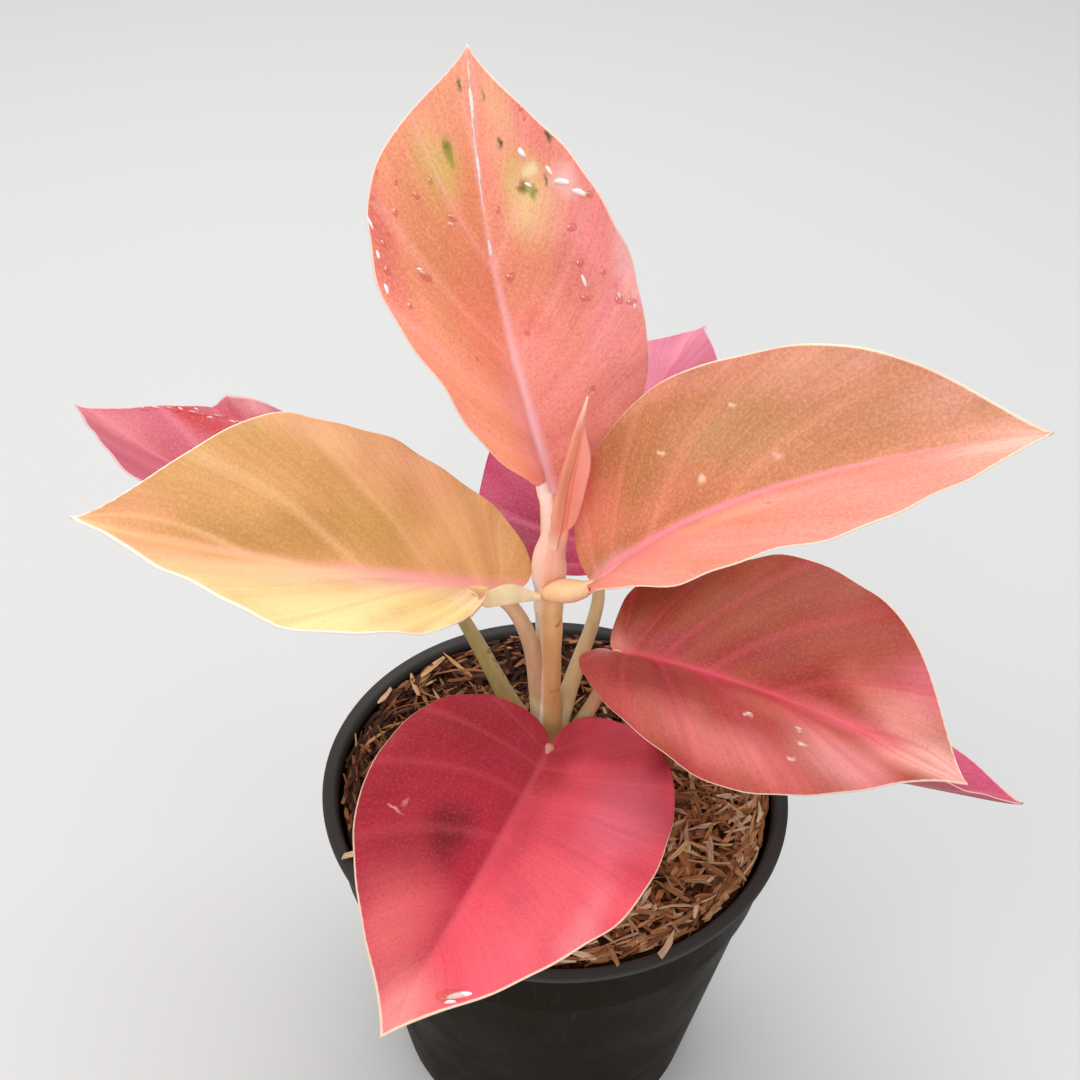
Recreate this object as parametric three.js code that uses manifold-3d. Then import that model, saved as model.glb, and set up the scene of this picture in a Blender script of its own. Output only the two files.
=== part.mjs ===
// A young pink and brown aglaonema in a 15 cm nursery pot.
// Millimetres, +Z up, viewer on the -Y side, origin under the middle of the pot's base.
import * as THREE from "three";
import { mergeVertices } from "three/addons/utils/BufferGeometryUtils.js";
import Module from "manifold-3d";

const wasm = await Module();
wasm.setup();

const gap = 0.3; // clearance between pieces that touch on the real plant
const finest = 0.03; // detail smaller than this is dropped after a cut

// Nursery pot, thin moulded plastic: a tapered wall, a band below the rim and a flat rolled lip
const pot = {
  height: 125,
  rimRadius: 75,
  lipWidth: 4,
  lipThickness: 2,
  bandHeight: 24,
  bandRadius: 71,
  shoulderRadius: 68.5,
  footRadius: 52.5,
  footEdge: 1.5,
  wall: 1.5,
  soften: 1, // bevel at the lip and at the step of the band
  sides: 56,
};
const drain = { count: 8, ringRadius: 34, radius: 4, sides: 10 };

// Coir and bark filling, with loose shavings on its surface
const medium = {
  belowRim: 3.5,
  dip: 5, // how much lower the surface lies at the stem
  dipReach: [16, 36], // distances from the stem between which it rises to the full height
  swell: 1.2,
  rings: 8,
  sides: 36,
};
const shaving = {
  count: 165,
  length: [5, 15],
  width: [1.8, 4.4],
  taper: 0.4, // width of the pointed end, as a share of the other
  thickness: [1.5, 2.8],
  sunk: 0.38,
  lean: [-0.4, 0.4],
  keepFromStem: 15,
  keepFromWall: 3,
  seed: 12,
};

// Blade form that all the leaves share
const blade = {
  thickness: 0.8,
  keel: 1.6, // midrib standing out below, near the base of the blade
  keelSlope: 0.7,
  tipAngle: 30, // degrees between midrib and margin at the point
  tipReach: 0.16, // stretch of the margin that the point draws out, as a share of the length
  shoulder: 0.56, // how long the margin keeps its full width towards the tip
  flank: 0.55, // and towards the base
  heel: 0.75, // roundness of the lobe beside the petiole
  ripple: 0.9,
  ripples: 2.6,
  ripplePhase: [0.3, 0.7],
  veinSpread: [0.12, 2.2], // share of the veins spaced evenly, and how the others draw towards the tip
  veinBend: [0.25, 0.6],
  rows: 17,
  columns: [0, 0.09, 0.36, 0.68, 1],
};

// Each leaf: base is where blade and petiole meet, and pairs are [left, right] looking from base to tip.
// heading, rise, roll, sweep, droop, twist, fold and curl are degrees; the petiole lists [x, y, z, radius].
const leaves = {
  top: {
    length: 120, halfWidth: [44, 39], widest: 0.44, lobe: [-3, 6], lobeWidth: 0.15,
    base: [-6.4, 7.2, 239.8], heading: 134, rise: 63, roll: 17,
    sweep: -38, droop: 12, twist: -32, fold: [32, 32], curl: [2, -25],
    petiole: [[-4.9, 3.9, 222, 2.2], [-5.1, 4.3, 229.5, 1.9], [-5.9, 5.4, 234.5, 1.7]],
    colour: 0xe39a7e,
  },
  left: {
    length: 118, halfWidth: [36, 44], widest: 0.45, lobe: [-16, 15], lobeWidth: 0.25,
    base: [-18.7, -11, 215.2], heading: 212, rise: 28, roll: 2,
    sweep: -31, droop: 12, twist: -3, fold: [32, 32], curl: [39, 3],
    petiole: [
      [-5.4, 8, 132, 2.8], [-6.6, 5, 154, 2.6], [-7.5, 3, 167, 2.5], [-8.5, 0, 180.5, 2.5],
      [-10.8, -4, 194.3, 2.4], [-14.4, -7.8, 206, 2.2],
    ],
    colour: 0xd9a873,
  },
  right: {
    length: 134, halfWidth: [36, 36.5], widest: 0.44, lobe: [4, -13], lobeWidth: 0.24,
    base: [9.1, -8.6, 217.9], heading: -30, rise: 59, roll: 21,
    sweep: 33, droop: 50, twist: -1, fold: [32, 32], curl: [-25, 6],
    petiole: [[-4, 1, 201, 2.9], [-2.6, -1.4, 207.5, 3.1], [2.2, -5, 211.5, 2.6]],
    colour: 0xcf9272,
  },
  lower_right: {
    length: 106, halfWidth: [44, 44], widest: 0.4, lobe: [5, 3], lobeWidth: 0.43,
    base: [16.1, -4.3, 186.9], heading: -22, rise: 9, roll: -19,
    sweep: -12, droop: 12, twist: 32, fold: [32, 32], curl: [5, 59],
    petiole: [[1, 9.5, 125, 3], [5.5, 10.5, 137, 2.6], [11.2, 6.8, 155.6, 2.2], [13.8, 0.4, 172, 2]],
    colour: 0xb9625b,
  },
  front: {
    length: 112, halfWidth: [47, 42.5], widest: 0.36, lobe: [20, 6], lobeWidth: 0.23,
    base: [-2.5, -11.5, 152.2], heading: -106, rise: 9, roll: -17,
    sweep: -8, droop: 12, twist: 7, fold: [22, 23], curl: [-6, 20],
    petiole: [[-2.6, 4, 122, 3.2], [-3, -3, 134, 2.8], [-2.9, -7.5, 143, 2.4]],
    colour: 0xc44a5a,
  },
  back_left: {
    length: 125, halfWidth: [44, 36], widest: 0.43, lobe: [-1, 4.5], lobeWidth: 0.15,
    base: [-42.2, 32, 182.8], heading: 187, rise: 25, roll: -14,
    sweep: -38, droop: 12, twist: 32, fold: [24, 30], curl: [-10, 27],
    petiole: [
      [-5, 9.5, 128, 3.6], [-15.2, 14.6, 143, 3.3], [-19.7, 17.5, 150.5, 2.9], [-28.3, 23.5, 164.5, 2.4],
      [-35.2, 28, 174.5, 2],
    ],
    colour: 0xc8566a,
  },
  back_right: {
    length: 110, halfWidth: [44, 36], widest: 0.28, lobe: [3, -1], lobeWidth: 0.5,
    base: [9.5, 20.2, 197.2], heading: 81, rise: 25, roll: -31,
    sweep: -20, droop: 22, twist: 3, fold: [28, 31], curl: [1, 60],
    petiole: [
      [-1.4, 9.5, 128, 3], [1.6, 11.5, 147.7, 2.9], [3.7, 13.5, 157, 2.6], [6.1, 15.5, 166.4, 2.3],
      [8.6, 17.5, 175.4, 2.1], [10.4, 18.8, 186.5, 1.9],
    ],
    colour: 0xc4647c,
  },
  side_right: {
    length: 117, halfWidth: [30, 38], widest: 0.46, lobe: [12, -2], lobeWidth: 0.16,
    base: [29.2, 12, 143], heading: -28, rise: 10, roll: 19,
    sweep: 20, droop: 12, twist: -24, fold: [29, 46], curl: [60, -25],
    petiole: [[0, 11, 123, 2.9], [10, 12.5, 128.5, 2.5], [20, 12.8, 135, 2]],
    colour: 0xbd4f66,
  },
};

// Cane and the clasped leaf bases above it, then the sleeve that holds the newest leaf
const stemPath = [
  [-2, 9.5, 92, 5], [-2.2, 9, 112, 6.4], [-2.4, 8.5, 122, 6.2], [-2.7, 7.5, 131, 4.6],
  [-3, 6, 145, 3.4], [-3.4, 4.5, 165, 2.8], [-4, 3, 187, 3.1], [-4.6, 2, 203, 4],
];
const stemFoot = { radius: 6.8, depth: 31, sides: 16 }; // hole that the buried cane stands in
const sheathPath = [
  [-4.6, 2.4, 203.6, 3.6], [-4.7, 2.6, 208, 4.8], [-4.8, 3, 212.5, 5], [-4.8, 3.2, 217, 4.7],
  [-4.2, 3.2, 221.5, 4], [-3.6, 3, 226, 3.4],
];
const spearPath = [
  [-3, 2.8, 226.2, 2.8], [-2.2, 2.4, 231, 2.6], [-0.8, 1, 246, 2.3], [0.7, 0.3, 255, 2],
  [1.9, -0.5, 264, 1.5], [3.6, -1, 274.8, 0.45],
];
const sheathDepth = 0.76; // front to back, as a share of its width
const spearFlap = { spread: 1.3, top: 0.87 }; // widening by the rolled leaf's loose edge, up to this share

const colours = {
  pot: 0x23282a,
  medium: 0x6b4630,
  stem: 0xc9a878,
  sheath: 0xf0b89a,
  spear: 0xe8a283,
  petiole: 0xd8c8a0,
};

const plant = new THREE.Group();

function radians(degrees) {
  return THREE.MathUtils.degToRad(degrees);
}

function seededRandom(seed) {
  let state = seed;
  return () => {
    state = (state * 1664525 + 1013904223) % 4294967296;
    return state / 4294967296;
  };
}

// A closed solid from a geometry, with doubled points merged and flat triangles dropped
function toSolid(geometry) {
  geometry.deleteAttribute("normal");
  geometry.deleteAttribute("uv");
  const merged = mergeVertices(geometry, 1e-4);
  const index = merged.index.array;
  const kept = [];
  for (let i = 0; i < index.length; i += 3) {
    const [a, b, c] = index.slice(i, i + 3);
    if (a !== b && b !== c && c !== a) kept.push(a, b, c);
  }
  const mesh = new wasm.Mesh({
    numProp: 3,
    vertProperties: new Float32Array(merged.attributes.position.array),
    triVerts: new Uint32Array(kept),
  });
  return new wasm.Manifold(mesh);
}

// A solid and its copies moved by the gap to eight corners: cutting all of them clears a neighbour
function nudged(solid) {
  const steps = [-gap, gap];
  const moved = steps.flatMap((x) => steps.flatMap((y) => steps.map((z) => solid.translate([x, y, z]))));
  return [solid, ...moved];
}

// The largest body of a solid, so that no loose scrap is left after a cut
function largest(solid) {
  return solid.decompose().sort((a, b) => b.volume() - a.volume())[0];
}

function addPiece(name, solid, colour, roughness) {
  const { vertProperties, triVerts } = largest(solid).getMesh();
  const geometry = new THREE.BufferGeometry();
  geometry.setAttribute("position", new THREE.BufferAttribute(vertProperties, 3));
  geometry.setIndex(new THREE.BufferAttribute(triVerts, 1));
  geometry.computeVertexNormals();
  const material = new THREE.MeshStandardMaterial({ color: colour, roughness, metalness: 0 });
  const mesh = new THREE.Mesh(geometry, material);
  mesh.name = name;
  plant.add(mesh);
}

// Surface of revolution about Z from [radius, height] pairs that start and end on the axis
function turned(profile, sides) {
  const points = profile.map(([radius, height]) => new THREE.Vector2(radius, height));
  return new THREE.LatheGeometry(points, sides).rotateX(Math.PI / 2);
}

function upright(radius, bottom, top, sides) {
  const shape = new THREE.CylinderGeometry(radius, radius, top - bottom, sides);
  return shape.rotateX(Math.PI / 2).translate(0, 0, (top + bottom) / 2);
}

function makePot() {
  const { height, rimRadius, bandRadius, shoulderRadius, footRadius, wall, soften } = pot;
  const bandBottom = height - pot.bandHeight;
  const lipBottom = height - pot.lipThickness;
  const profile = [
    [0, 0],
    [footRadius - pot.footEdge, 0],
    [footRadius, pot.footEdge],
    [shoulderRadius, bandBottom - soften],
    [bandRadius - soften, bandBottom],
    [bandRadius, lipBottom - soften],
    [rimRadius - soften, lipBottom],
    [rimRadius, height - soften],
    [rimRadius - soften, height],
    [rimRadius - pot.lipWidth, height],
    [bandRadius - wall, lipBottom - soften],
    [bandRadius - wall - soften, bandBottom + soften],
    [shoulderRadius - wall, bandBottom],
    [footRadius - wall, wall],
    [0, wall],
  ];
  let solid = toSolid(turned(profile, pot.sides));
  for (let i = 0; i < drain.count; i++) {
    const angle = (2 * Math.PI * i) / drain.count;
    const hole = upright(drain.radius, -1, wall + 1, drain.sides);
    hole.translate(drain.ringRadius * Math.cos(angle), drain.ringRadius * Math.sin(angle), 0);
    solid = solid.subtract(toSolid(hole));
  }
  return solid;
}

const mediumTop = pot.height - medium.belowRim;

// Inner radius of the pot's wall at a height between its floor and the band
function innerRadius(height) {
  const span = (height - pot.wall) / (pot.height - pot.bandHeight - pot.wall);
  return THREE.MathUtils.lerp(pot.footRadius, pot.shoulderRadius, Math.min(span, 1)) - pot.wall;
}

function mediumHeight(x, y) {
  const slow = Math.sin(x * 0.09 + 1) * Math.cos(y * 0.11);
  const quick = Math.sin(x * 0.27 + y * 0.23);
  const fromStem = Math.hypot(x - stemPath[1][0], y - stemPath[1][1]);
  const dip = medium.dip * (1 - THREE.MathUtils.smoothstep(fromStem, ...medium.dipReach));
  return mediumTop - dip + medium.swell * (0.7 * slow + 0.4 * quick);
}

// One flat sliver, pointed at one end, lying on the surface at a random place
function makeShaving(random) {
  const between = ([low, high]) => THREE.MathUtils.lerp(low, high, random());
  const length = between(shaving.length);
  const thickness = between(shaving.thickness);
  const sliver = new THREE.BoxGeometry(length, between(shaving.width), thickness);
  const position = sliver.attributes.position;
  for (let i = 0; i < position.count; i++) {
    if (position.getX(i) > 0) position.setY(i, position.getY(i) * shaving.taper);
  }
  const reach = innerRadius(mediumTop) - shaving.keepFromWall - length / 2;
  const radius = reach * Math.sqrt(random());
  const angle = 2 * Math.PI * random();
  const x = radius * Math.cos(angle);
  const y = radius * Math.sin(angle);
  sliver.rotateX(between(shaving.lean));
  sliver.rotateY(between(shaving.lean) / 2);
  sliver.rotateZ(2 * Math.PI * random());
  sliver.translate(x, y, mediumHeight(x, y) + thickness * (0.5 - shaving.sunk));
  const [stemX, stemY] = stemPath[1];
  const clear = Math.hypot(x - stemX, y - stemY) > shaving.keepFromStem;
  return clear ? toSolid(sliver) : null;
}

function makeMedium() {
  const bottom = pot.wall + gap;
  const step = pot.height - pot.bandHeight;
  const edge = pot.bandRadius - pot.wall - pot.soften - gap;
  const profile = [
    [0, bottom],
    [innerRadius(bottom) - 2 * gap, bottom],
    [innerRadius(step) - 2 * gap, step - pot.soften],
    [edge - 2 * gap, step + 3 * pot.soften],
  ];
  for (let ring = medium.rings; ring >= 0; ring--) {
    profile.push([(edge * ring) / medium.rings, mediumTop]);
  }
  const body = turned(profile, medium.sides);
  const position = body.attributes.position;
  for (let i = 0; i < position.count; i++) {
    const [x, y, z] = [position.getX(i), position.getY(i), position.getZ(i)];
    if (z === mediumTop) position.setZ(i, mediumHeight(x, y));
  }
  const random = seededRandom(shaving.seed);
  const pieces = [toSolid(body)];
  for (let i = 0; i < shaving.count; i++) {
    const sliver = makeShaving(random);
    if (sliver) pieces.push(sliver);
  }
  const hole = upright(stemFoot.radius + gap, mediumTop - stemFoot.depth, pot.height, stemFoot.sides);
  hole.translate(stemPath[1][0], stemPath[1][1], 0);
  return wasm.Manifold.union(pieces).subtract(toSolid(hole)).asOriginal().simplify(finest);
}

// Round closed tube through [x, y, z, radius] points, grown all over by the margin given.
// shape(offset, along) may change a section: it gets each point's offset from the centre line.
function tube(path, { sides = 10, perSpan = 2, margin = 0, shape = null } = {}) {
  const curve = new THREE.CatmullRomCurve3(path.map(([x, y, z]) => new THREE.Vector3(x, y, z)));
  const steps = (path.length - 1) * perSpan;
  const frames = curve.computeFrenetFrames(steps);
  const corners = [];
  const triangles = [];
  const radiusAt = (u) => {
    const place = u * (path.length - 1);
    const low = Math.min(Math.floor(place), path.length - 2);
    return THREE.MathUtils.lerp(path[low][3], path[low + 1][3], place - low) + margin;
  };
  for (let i = 0; i <= steps; i++) {
    const u = i / steps;
    const end = i === 0 ? -margin : i === steps ? margin : 0;
    const centre = curve.getPoint(u).addScaledVector(frames.tangents[i], end);
    for (let j = 0; j < sides; j++) {
      const angle = (2 * Math.PI * j) / sides;
      const offset = frames.normals[i].clone().multiplyScalar(Math.cos(angle) * radiusAt(u));
      offset.addScaledVector(frames.binormals[i], Math.sin(angle) * radiusAt(u));
      if (shape) shape(offset, u);
      corners.push(offset.add(centre));
    }
  }
  const point = (i, j) => i * sides + (j % sides);
  for (let i = 0; i < steps; i++) {
    for (let j = 0; j < sides; j++) {
      triangles.push(point(i, j), point(i, j + 1), point(i + 1, j));
      triangles.push(point(i, j + 1), point(i + 1, j + 1), point(i + 1, j));
    }
  }
  for (let j = 1; j < sides - 1; j++) {
    triangles.push(point(0, 0), point(0, j + 1), point(0, j));
    triangles.push(point(steps, 0), point(steps, j), point(steps, j + 1));
  }
  return fromTriangles(corners, triangles);
}

function fromTriangles(corners, triangles) {
  const geometry = new THREE.BufferGeometry().setFromPoints(corners);
  geometry.setIndex(triangles);
  return geometry;
}

// Flat outline of one half of a blade, x along the midrib and y across it
function halfOutline(leaf, half) {
  const width = leaf.halfWidth[half];
  const lobe = leaf.lobe[half];
  const lobeY = leaf.lobeWidth * width;
  const widestX = leaf.widest * leaf.length;
  const tipX = Math.cos(radians(blade.tipAngle)) * blade.tipReach * leaf.length;
  const tipY = Math.sin(radians(blade.tipAngle)) * blade.tipReach * leaf.length;
  const at = (x, y) => new THREE.Vector2(x, y);
  const outline = new THREE.CurvePath();
  outline.add(new THREE.CubicBezierCurve(
    at(0, 0),
    at(-blade.heel * lobe, 0),
    at(-lobe, lobeY / 2),
    at(-lobe, lobeY),
  ));
  outline.add(new THREE.CubicBezierCurve(
    at(-lobe, lobeY),
    at(-lobe, lobeY + blade.flank * (width - lobeY)),
    at(widestX - blade.flank * (widestX + lobe), width),
    at(widestX, width),
  ));
  outline.add(new THREE.CubicBezierCurve(
    at(widestX, width),
    at(widestX + blade.shoulder * (leaf.length - widestX), width),
    at(leaf.length - tipX, tipY),
    at(leaf.length, 0),
  ));
  return outline;
}

// Place on the midrib at a distance from the base, with the directions along it, to its left and up
function midribFrame(leaf, spine, along) {
  const share = THREE.MathUtils.clamp(along / leaf.length, 0, 1);
  const turn = radians(leaf.heading + leaf.sweep * share);
  const rise = radians(leaf.rise - leaf.droop * share);
  const roll = radians(leaf.roll + leaf.twist * share);
  const forward = new THREE.Vector3(
    Math.cos(rise) * Math.cos(turn), Math.cos(rise) * Math.sin(turn), Math.sin(rise),
  );
  const left = new THREE.Vector3(-Math.sin(turn), Math.cos(turn), 0);
  const up = forward.clone().cross(left);
  left.applyAxisAngle(forward, roll);
  up.applyAxisAngle(forward, roll);
  const place = share * (spine.length - 1);
  const low = Math.min(Math.floor(place), spine.length - 2);
  const point = spine[low].clone().lerp(spine[low + 1], place - low);
  point.addScaledVector(forward, Math.min(along, 0));
  return { point, forward, left, up };
}

// Midrib as a chain of short steps, each bending on from the last
function makeSpine(leaf) {
  const steps = 48;
  const spine = [new THREE.Vector3(...leaf.base)];
  for (let i = 0; i < steps; i++) {
    const { forward } = midribFrame(leaf, [spine[0], spine[0]], ((i + 0.5) / steps) * leaf.length);
    spine.push(spine[i].clone().addScaledVector(forward, leaf.length / steps));
  }
  return spine;
}

// Middle surface of a blade: folded up along the midrib, curled across and rippled at the margin
function bladePoint(leaf, spine, along, across, half) {
  const side = half === 0 ? 1 : -1;
  const width = leaf.halfWidth[half];
  const fold = radians(leaf.fold[half]);
  const bend = radians(leaf.curl[half] || 0.1) / width;
  const out = (Math.sin(fold) - Math.sin(fold - bend * across)) / bend;
  const lift = (Math.cos(fold - bend * across) - Math.cos(fold)) / bend;
  const turns = (blade.ripples * along) / leaf.length + blade.ripplePhase[half];
  const wave = Math.sin(2 * Math.PI * turns);
  const ripple = blade.ripple * (across / width) ** 2 * wave;
  const { point, left, up } = midribFrame(leaf, spine, along);
  return point.addScaledVector(left, side * out).addScaledVector(up, lift + ripple);
}

// Closed blade: rows follow the side veins from midrib to margin, and both faces are split alike
function makeBlade(leaf) {
  const spine = makeSpine(leaf);
  const outlines = [halfOutline(leaf, 0), halfOutline(leaf, 1)];
  const [even, drawn] = blade.veinSpread;
  const [lead, reach] = blade.veinBend;
  const last = blade.columns.length - 1;
  const rows = [];
  for (let row = 0; row <= blade.rows; row++) {
    const share = row / blade.rows;
    const start = leaf.length * (even * share + (1 - even) * share ** drawn);
    const line = [];
    for (let column = -last; column <= last; column++) {
      const half = column > 0 ? 0 : 1;
      const edge = outlines[half].getPoint(share);
      const across = blade.columns[Math.abs(column)];
      const vein = new THREE.QuadraticBezierCurve(
        new THREE.Vector2(start, 0),
        new THREE.Vector2(start + lead * (edge.x - start), reach * edge.y),
        edge,
      );
      const flat = row === 0 || row === blade.rows ? edge : vein.getPoint(across);
      line.push({ point: bladePoint(leaf, spine, flat.x, flat.y, half), across: flat.y, keel: 0 });
    }
    line[last].keel = Math.min(blade.keel * (1 - share), blade.keelSlope * line[last + 1].across);
    rows.push(line);
  }
  return fromTriangles(...bladeFaces(rows, leaf, spine, blade.thickness / 2));
}

function bladeFaces(rows, leaf, spine, offset) {
  const wide = rows[0].length;
  const lastRow = rows.length - 1;
  const corners = [];
  const triangles = [];
  const normalAt = (row, column) => {
    const along = rows[Math.min(row + 1, lastRow)][column].point.clone();
    along.sub(rows[Math.max(row - 1, 0)][column].point);
    const across = rows[row][Math.min(column + 1, wide - 1)].point.clone();
    across.sub(rows[row][Math.max(column - 1, 0)].point);
    const normal = along.cross(across);
    const { up } = midribFrame(leaf, spine, (row / lastRow) * leaf.length);
    return normal.lengthSq() < 1e-6 ? up : normal.normalize();
  };
  for (let row = 0; row <= lastRow; row++) {
    for (let column = 0; column < wide; column++) {
      const { point, keel } = rows[row][column];
      const normal = normalAt(row, column);
      corners.push(point.clone().addScaledVector(normal, offset));
      corners.push(point.clone().addScaledVector(normal, -offset - keel));
    }
  }
  const top = (row, column) => {
    const ends = row === 0 || row === lastRow;
    return 2 * (row * wide + (ends ? (wide - 1) / 2 : column));
  };
  const quad = (a, b, c, d) => triangles.push(a, b, c, a, c, d);
  for (let row = 0; row < lastRow; row++) {
    for (let column = 0; column < wide - 1; column++) {
      const [a, b] = [top(row, column), top(row, column + 1)];
      const [c, d] = [top(row + 1, column + 1), top(row + 1, column)];
      quad(a, d, c, b);
      quad(a + 1, b + 1, c + 1, d + 1);
    }
    for (const [column, flip] of [[0, false], [wide - 1, true]]) {
      const [a, b] = [top(row, column), top(row + 1, column)];
      if (flip) quad(a, b, b + 1, a + 1);
      else quad(a, a + 1, b + 1, b);
    }
  }
  return [corners, triangles];
}

// Where a stalk ends: at the base of the blade, with its upper edge just under it
function petioleEnd(leaf) {
  const base = new THREE.Vector3(...leaf.base);
  const { forward, up } = midribFrame(leaf, [base, base], 0);
  const [x, y, z, radius] = leaf.petiole[leaf.petiole.length - 1];
  const approach = base.clone().sub(new THREE.Vector3(x, y, z)).normalize();
  const tilt = approach.dot(up);
  const edge = radius * Math.sqrt(1 - tilt ** 2);
  base.addScaledVector(forward, radius * tilt * approach.dot(forward));
  base.addScaledVector(up, -edge - blade.thickness);
  return [...base.toArray(), radius];
}

function flattenSheath(offset) {
  offset.y *= sheathDepth;
}

// The loose edge of the rolled leaf stands out on its right, most at the middle of its height
function spreadSpear(offset, along) {
  const bulge = Math.sin(Math.PI * Math.min(along / spearFlap.top, 1)) ** 2;
  if (offset.x > 0) offset.x *= 1 + spearFlap.spread * bulge;
}

// Each stalk keeps clear of what is already placed, and its foot meets the stem at that clearance
function makePlant() {
  const placed = [];
  const place = (name, path, colour, options = {}, also = []) => {
    let solid = toSolid(tube(path, options));
    for (const other of [...placed, ...also]) solid = solid.subtract(other);
    solid = solid.asOriginal().simplify(finest);
    placed.push(toSolid(tube(path, { ...options, margin: gap })));
    addPiece(name, solid, colour, 0.45);
  };
  place("stem", stemPath, colours.stem, { sides: 12 });
  place("sheath", sheathPath, colours.sheath, { sides: 12, shape: flattenSheath });
  place("spear", spearPath, colours.spear, { sides: 12, shape: spreadSpear });
  for (const [name, leaf] of Object.entries(leaves)) {
    const solid = toSolid(makeBlade(leaf));
    addPiece(`blade_${name}`, solid, leaf.colour, 0.4);
    place(`petiole_${name}`, [...leaf.petiole, petioleEnd(leaf)], colours.petiole, {}, nudged(solid));
  }
}

addPiece("pot", makePot(), colours.pot, 0.45);
addPiece("growing_medium", makeMedium(), colours.medium, 0.95);
makePlant();

export default plant;
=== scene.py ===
import math
import random
from functools import partial

import bmesh
import bpy
import numpy as np
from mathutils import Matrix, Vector


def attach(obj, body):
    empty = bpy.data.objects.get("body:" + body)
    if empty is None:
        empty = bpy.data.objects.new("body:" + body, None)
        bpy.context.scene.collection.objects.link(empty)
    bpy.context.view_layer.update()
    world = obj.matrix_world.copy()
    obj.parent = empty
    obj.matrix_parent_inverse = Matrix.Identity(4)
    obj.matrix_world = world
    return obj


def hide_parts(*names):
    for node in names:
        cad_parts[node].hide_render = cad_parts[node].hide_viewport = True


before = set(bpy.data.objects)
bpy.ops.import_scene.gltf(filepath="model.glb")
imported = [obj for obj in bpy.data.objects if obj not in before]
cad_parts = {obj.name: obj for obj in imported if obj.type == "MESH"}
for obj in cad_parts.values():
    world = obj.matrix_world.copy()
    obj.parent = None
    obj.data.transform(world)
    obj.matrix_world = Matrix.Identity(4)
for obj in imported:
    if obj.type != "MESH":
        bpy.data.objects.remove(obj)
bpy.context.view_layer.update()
scene = bpy.context.scene
print("frame loaded:", len(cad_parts), "nodes")

# Lengths are in millimetres up to meshPiece, which turns them into metres.
millimetre = 0.001


def hexColour(code):
    # sRGB hex to linear
    parts = [int(code[i:i + 2], 16) / 255 for i in (1, 3, 5)]
    return [p / 12.92 if p <= 0.04045 else ((p + 0.055) / 1.055) ** 2.4 for p in parts] + [1]


def joinTo(node, links):
    # links join sockets to the node's inputs; a node among them stands for the first of its outputs in use
    for key, source in links.items():
        if isinstance(source, bpy.types.Node):
            source = next(output for output in source.outputs if output.enabled)
        node.id_data.links.new(source, node.inputs[key])


def addNode(tree, kind, settings=None, links=None):
    # One shader node: settings fill its inputs or its own properties. Inputs that share a name go by number:
    # 0 is the factor of a Mix node and 6 and 7 are its colours, and maths nodes count theirs from 0.
    node = tree.nodes.new("ShaderNode" + kind)
    for key, value in (settings or {}).items():
        if isinstance(key, int) or key in node.inputs:
            node.inputs[key].default_value = value
        else:
            setattr(node, key, value)
    joinTo(node, links or {})
    return node


def newMaterial(name, finish):
    # A material, addNode for its tree, and its Principled shader. The finish holds those settings of that
    # shader which are the same all over.
    material = bpy.data.materials.new(name)
    material.use_nodes = True
    material.node_tree.nodes.clear()
    add = partial(addNode, material.node_tree)
    shader = add("BsdfPrincipled", finish)
    add("OutputMaterial", links={"Surface": shader})
    return material, add, shader


# settings that many nodes share
tint = {"data_type": "RGBA"}
shading = {"data_type": "RGBA", "blend_type": "MULTIPLY", 0: 1}
softEdge = {"interpolation_type": "SMOOTHSTEP"}
noiseSpan = {"From Min": 0.3, "From Max": 0.7}  # where most of a noise pattern lies


def newObject(name, data, place=(0, 0, 0), turn=(0, 0, 0)):
    made = bpy.data.objects.new(name, data)
    made.location = place
    made.rotation_euler = turn
    scene.collection.objects.link(made)
    return made


def meshPiece(name, vertices, faces, materials, slot, node, faceMaterials=None, values=None):
    # a smooth mesh that rides on the part in place of a node; values are numbers or vectors for each vertex
    mesh = bpy.data.meshes.new(name)
    mesh.from_pydata(np.asarray(vertices, float) * millimetre, [], faces)
    for material in materials:
        mesh.materials.append(material)
    mesh.polygons.foreach_set("use_smooth", [True] * len(mesh.polygons))
    if faceMaterials is not None:
        mesh.polygons.foreach_set("material_index", faceMaterials)
    for key, value in (values or {}).items():
        value = np.asarray(value, np.float32)
        kind, field = ("FLOAT", "value") if value.ndim == 1 else ("FLOAT_VECTOR", "vector")
        mesh.attributes.new(key, kind, "POINT").data.foreach_set(field, value.ravel())
    mesh.validate()
    piece = newObject(name, mesh)
    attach(piece, "root")
    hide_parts(node)
    return piece


def ringFaces(rings, sides, closed=True):
    # faces between neighbouring rings of points, and over both ends
    faces = []
    for a in range(0, (rings - 1) * sides, sides):
        for j in range(sides):
            k = (j + 1) % sides
            faces.append((a + j, a + k, a + sides + k, a + sides + j))
    if closed:
        faces += [tuple(range(sides - 1, -1, -1)), tuple(range((rings - 1) * sides, rings * sides))]
    return faces


def sheetFaces(rows, columns):
    # faces of a thin closed sheet: first the grid that faces the viewer, then the one behind it
    wide = columns + 1
    count = (rows + 1) * wide
    faces = []
    for i in range(rows):
        for j in range(columns):
            a, b, c, d = i * wide + j, i * wide + j + 1, (i + 1) * wide + j + 1, (i + 1) * wide + j
            faces += [(a, d, c, b), (a + count, b + count, c + count, d + count)]
        a, b = i * wide, (i + 1) * wide
        faces.append((a, a + count, b + count, b))
        faces.append((a + columns, b + columns, b + columns + count, a + columns + count))
    last = rows * wide
    for j in range(columns):
        faces += [(j, j + 1, j + 1 + count, j + count),
                  (last + j + 1, last + j, last + j + count, last + j + 1 + count)]
    return faces


# camera, light and floor

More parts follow.
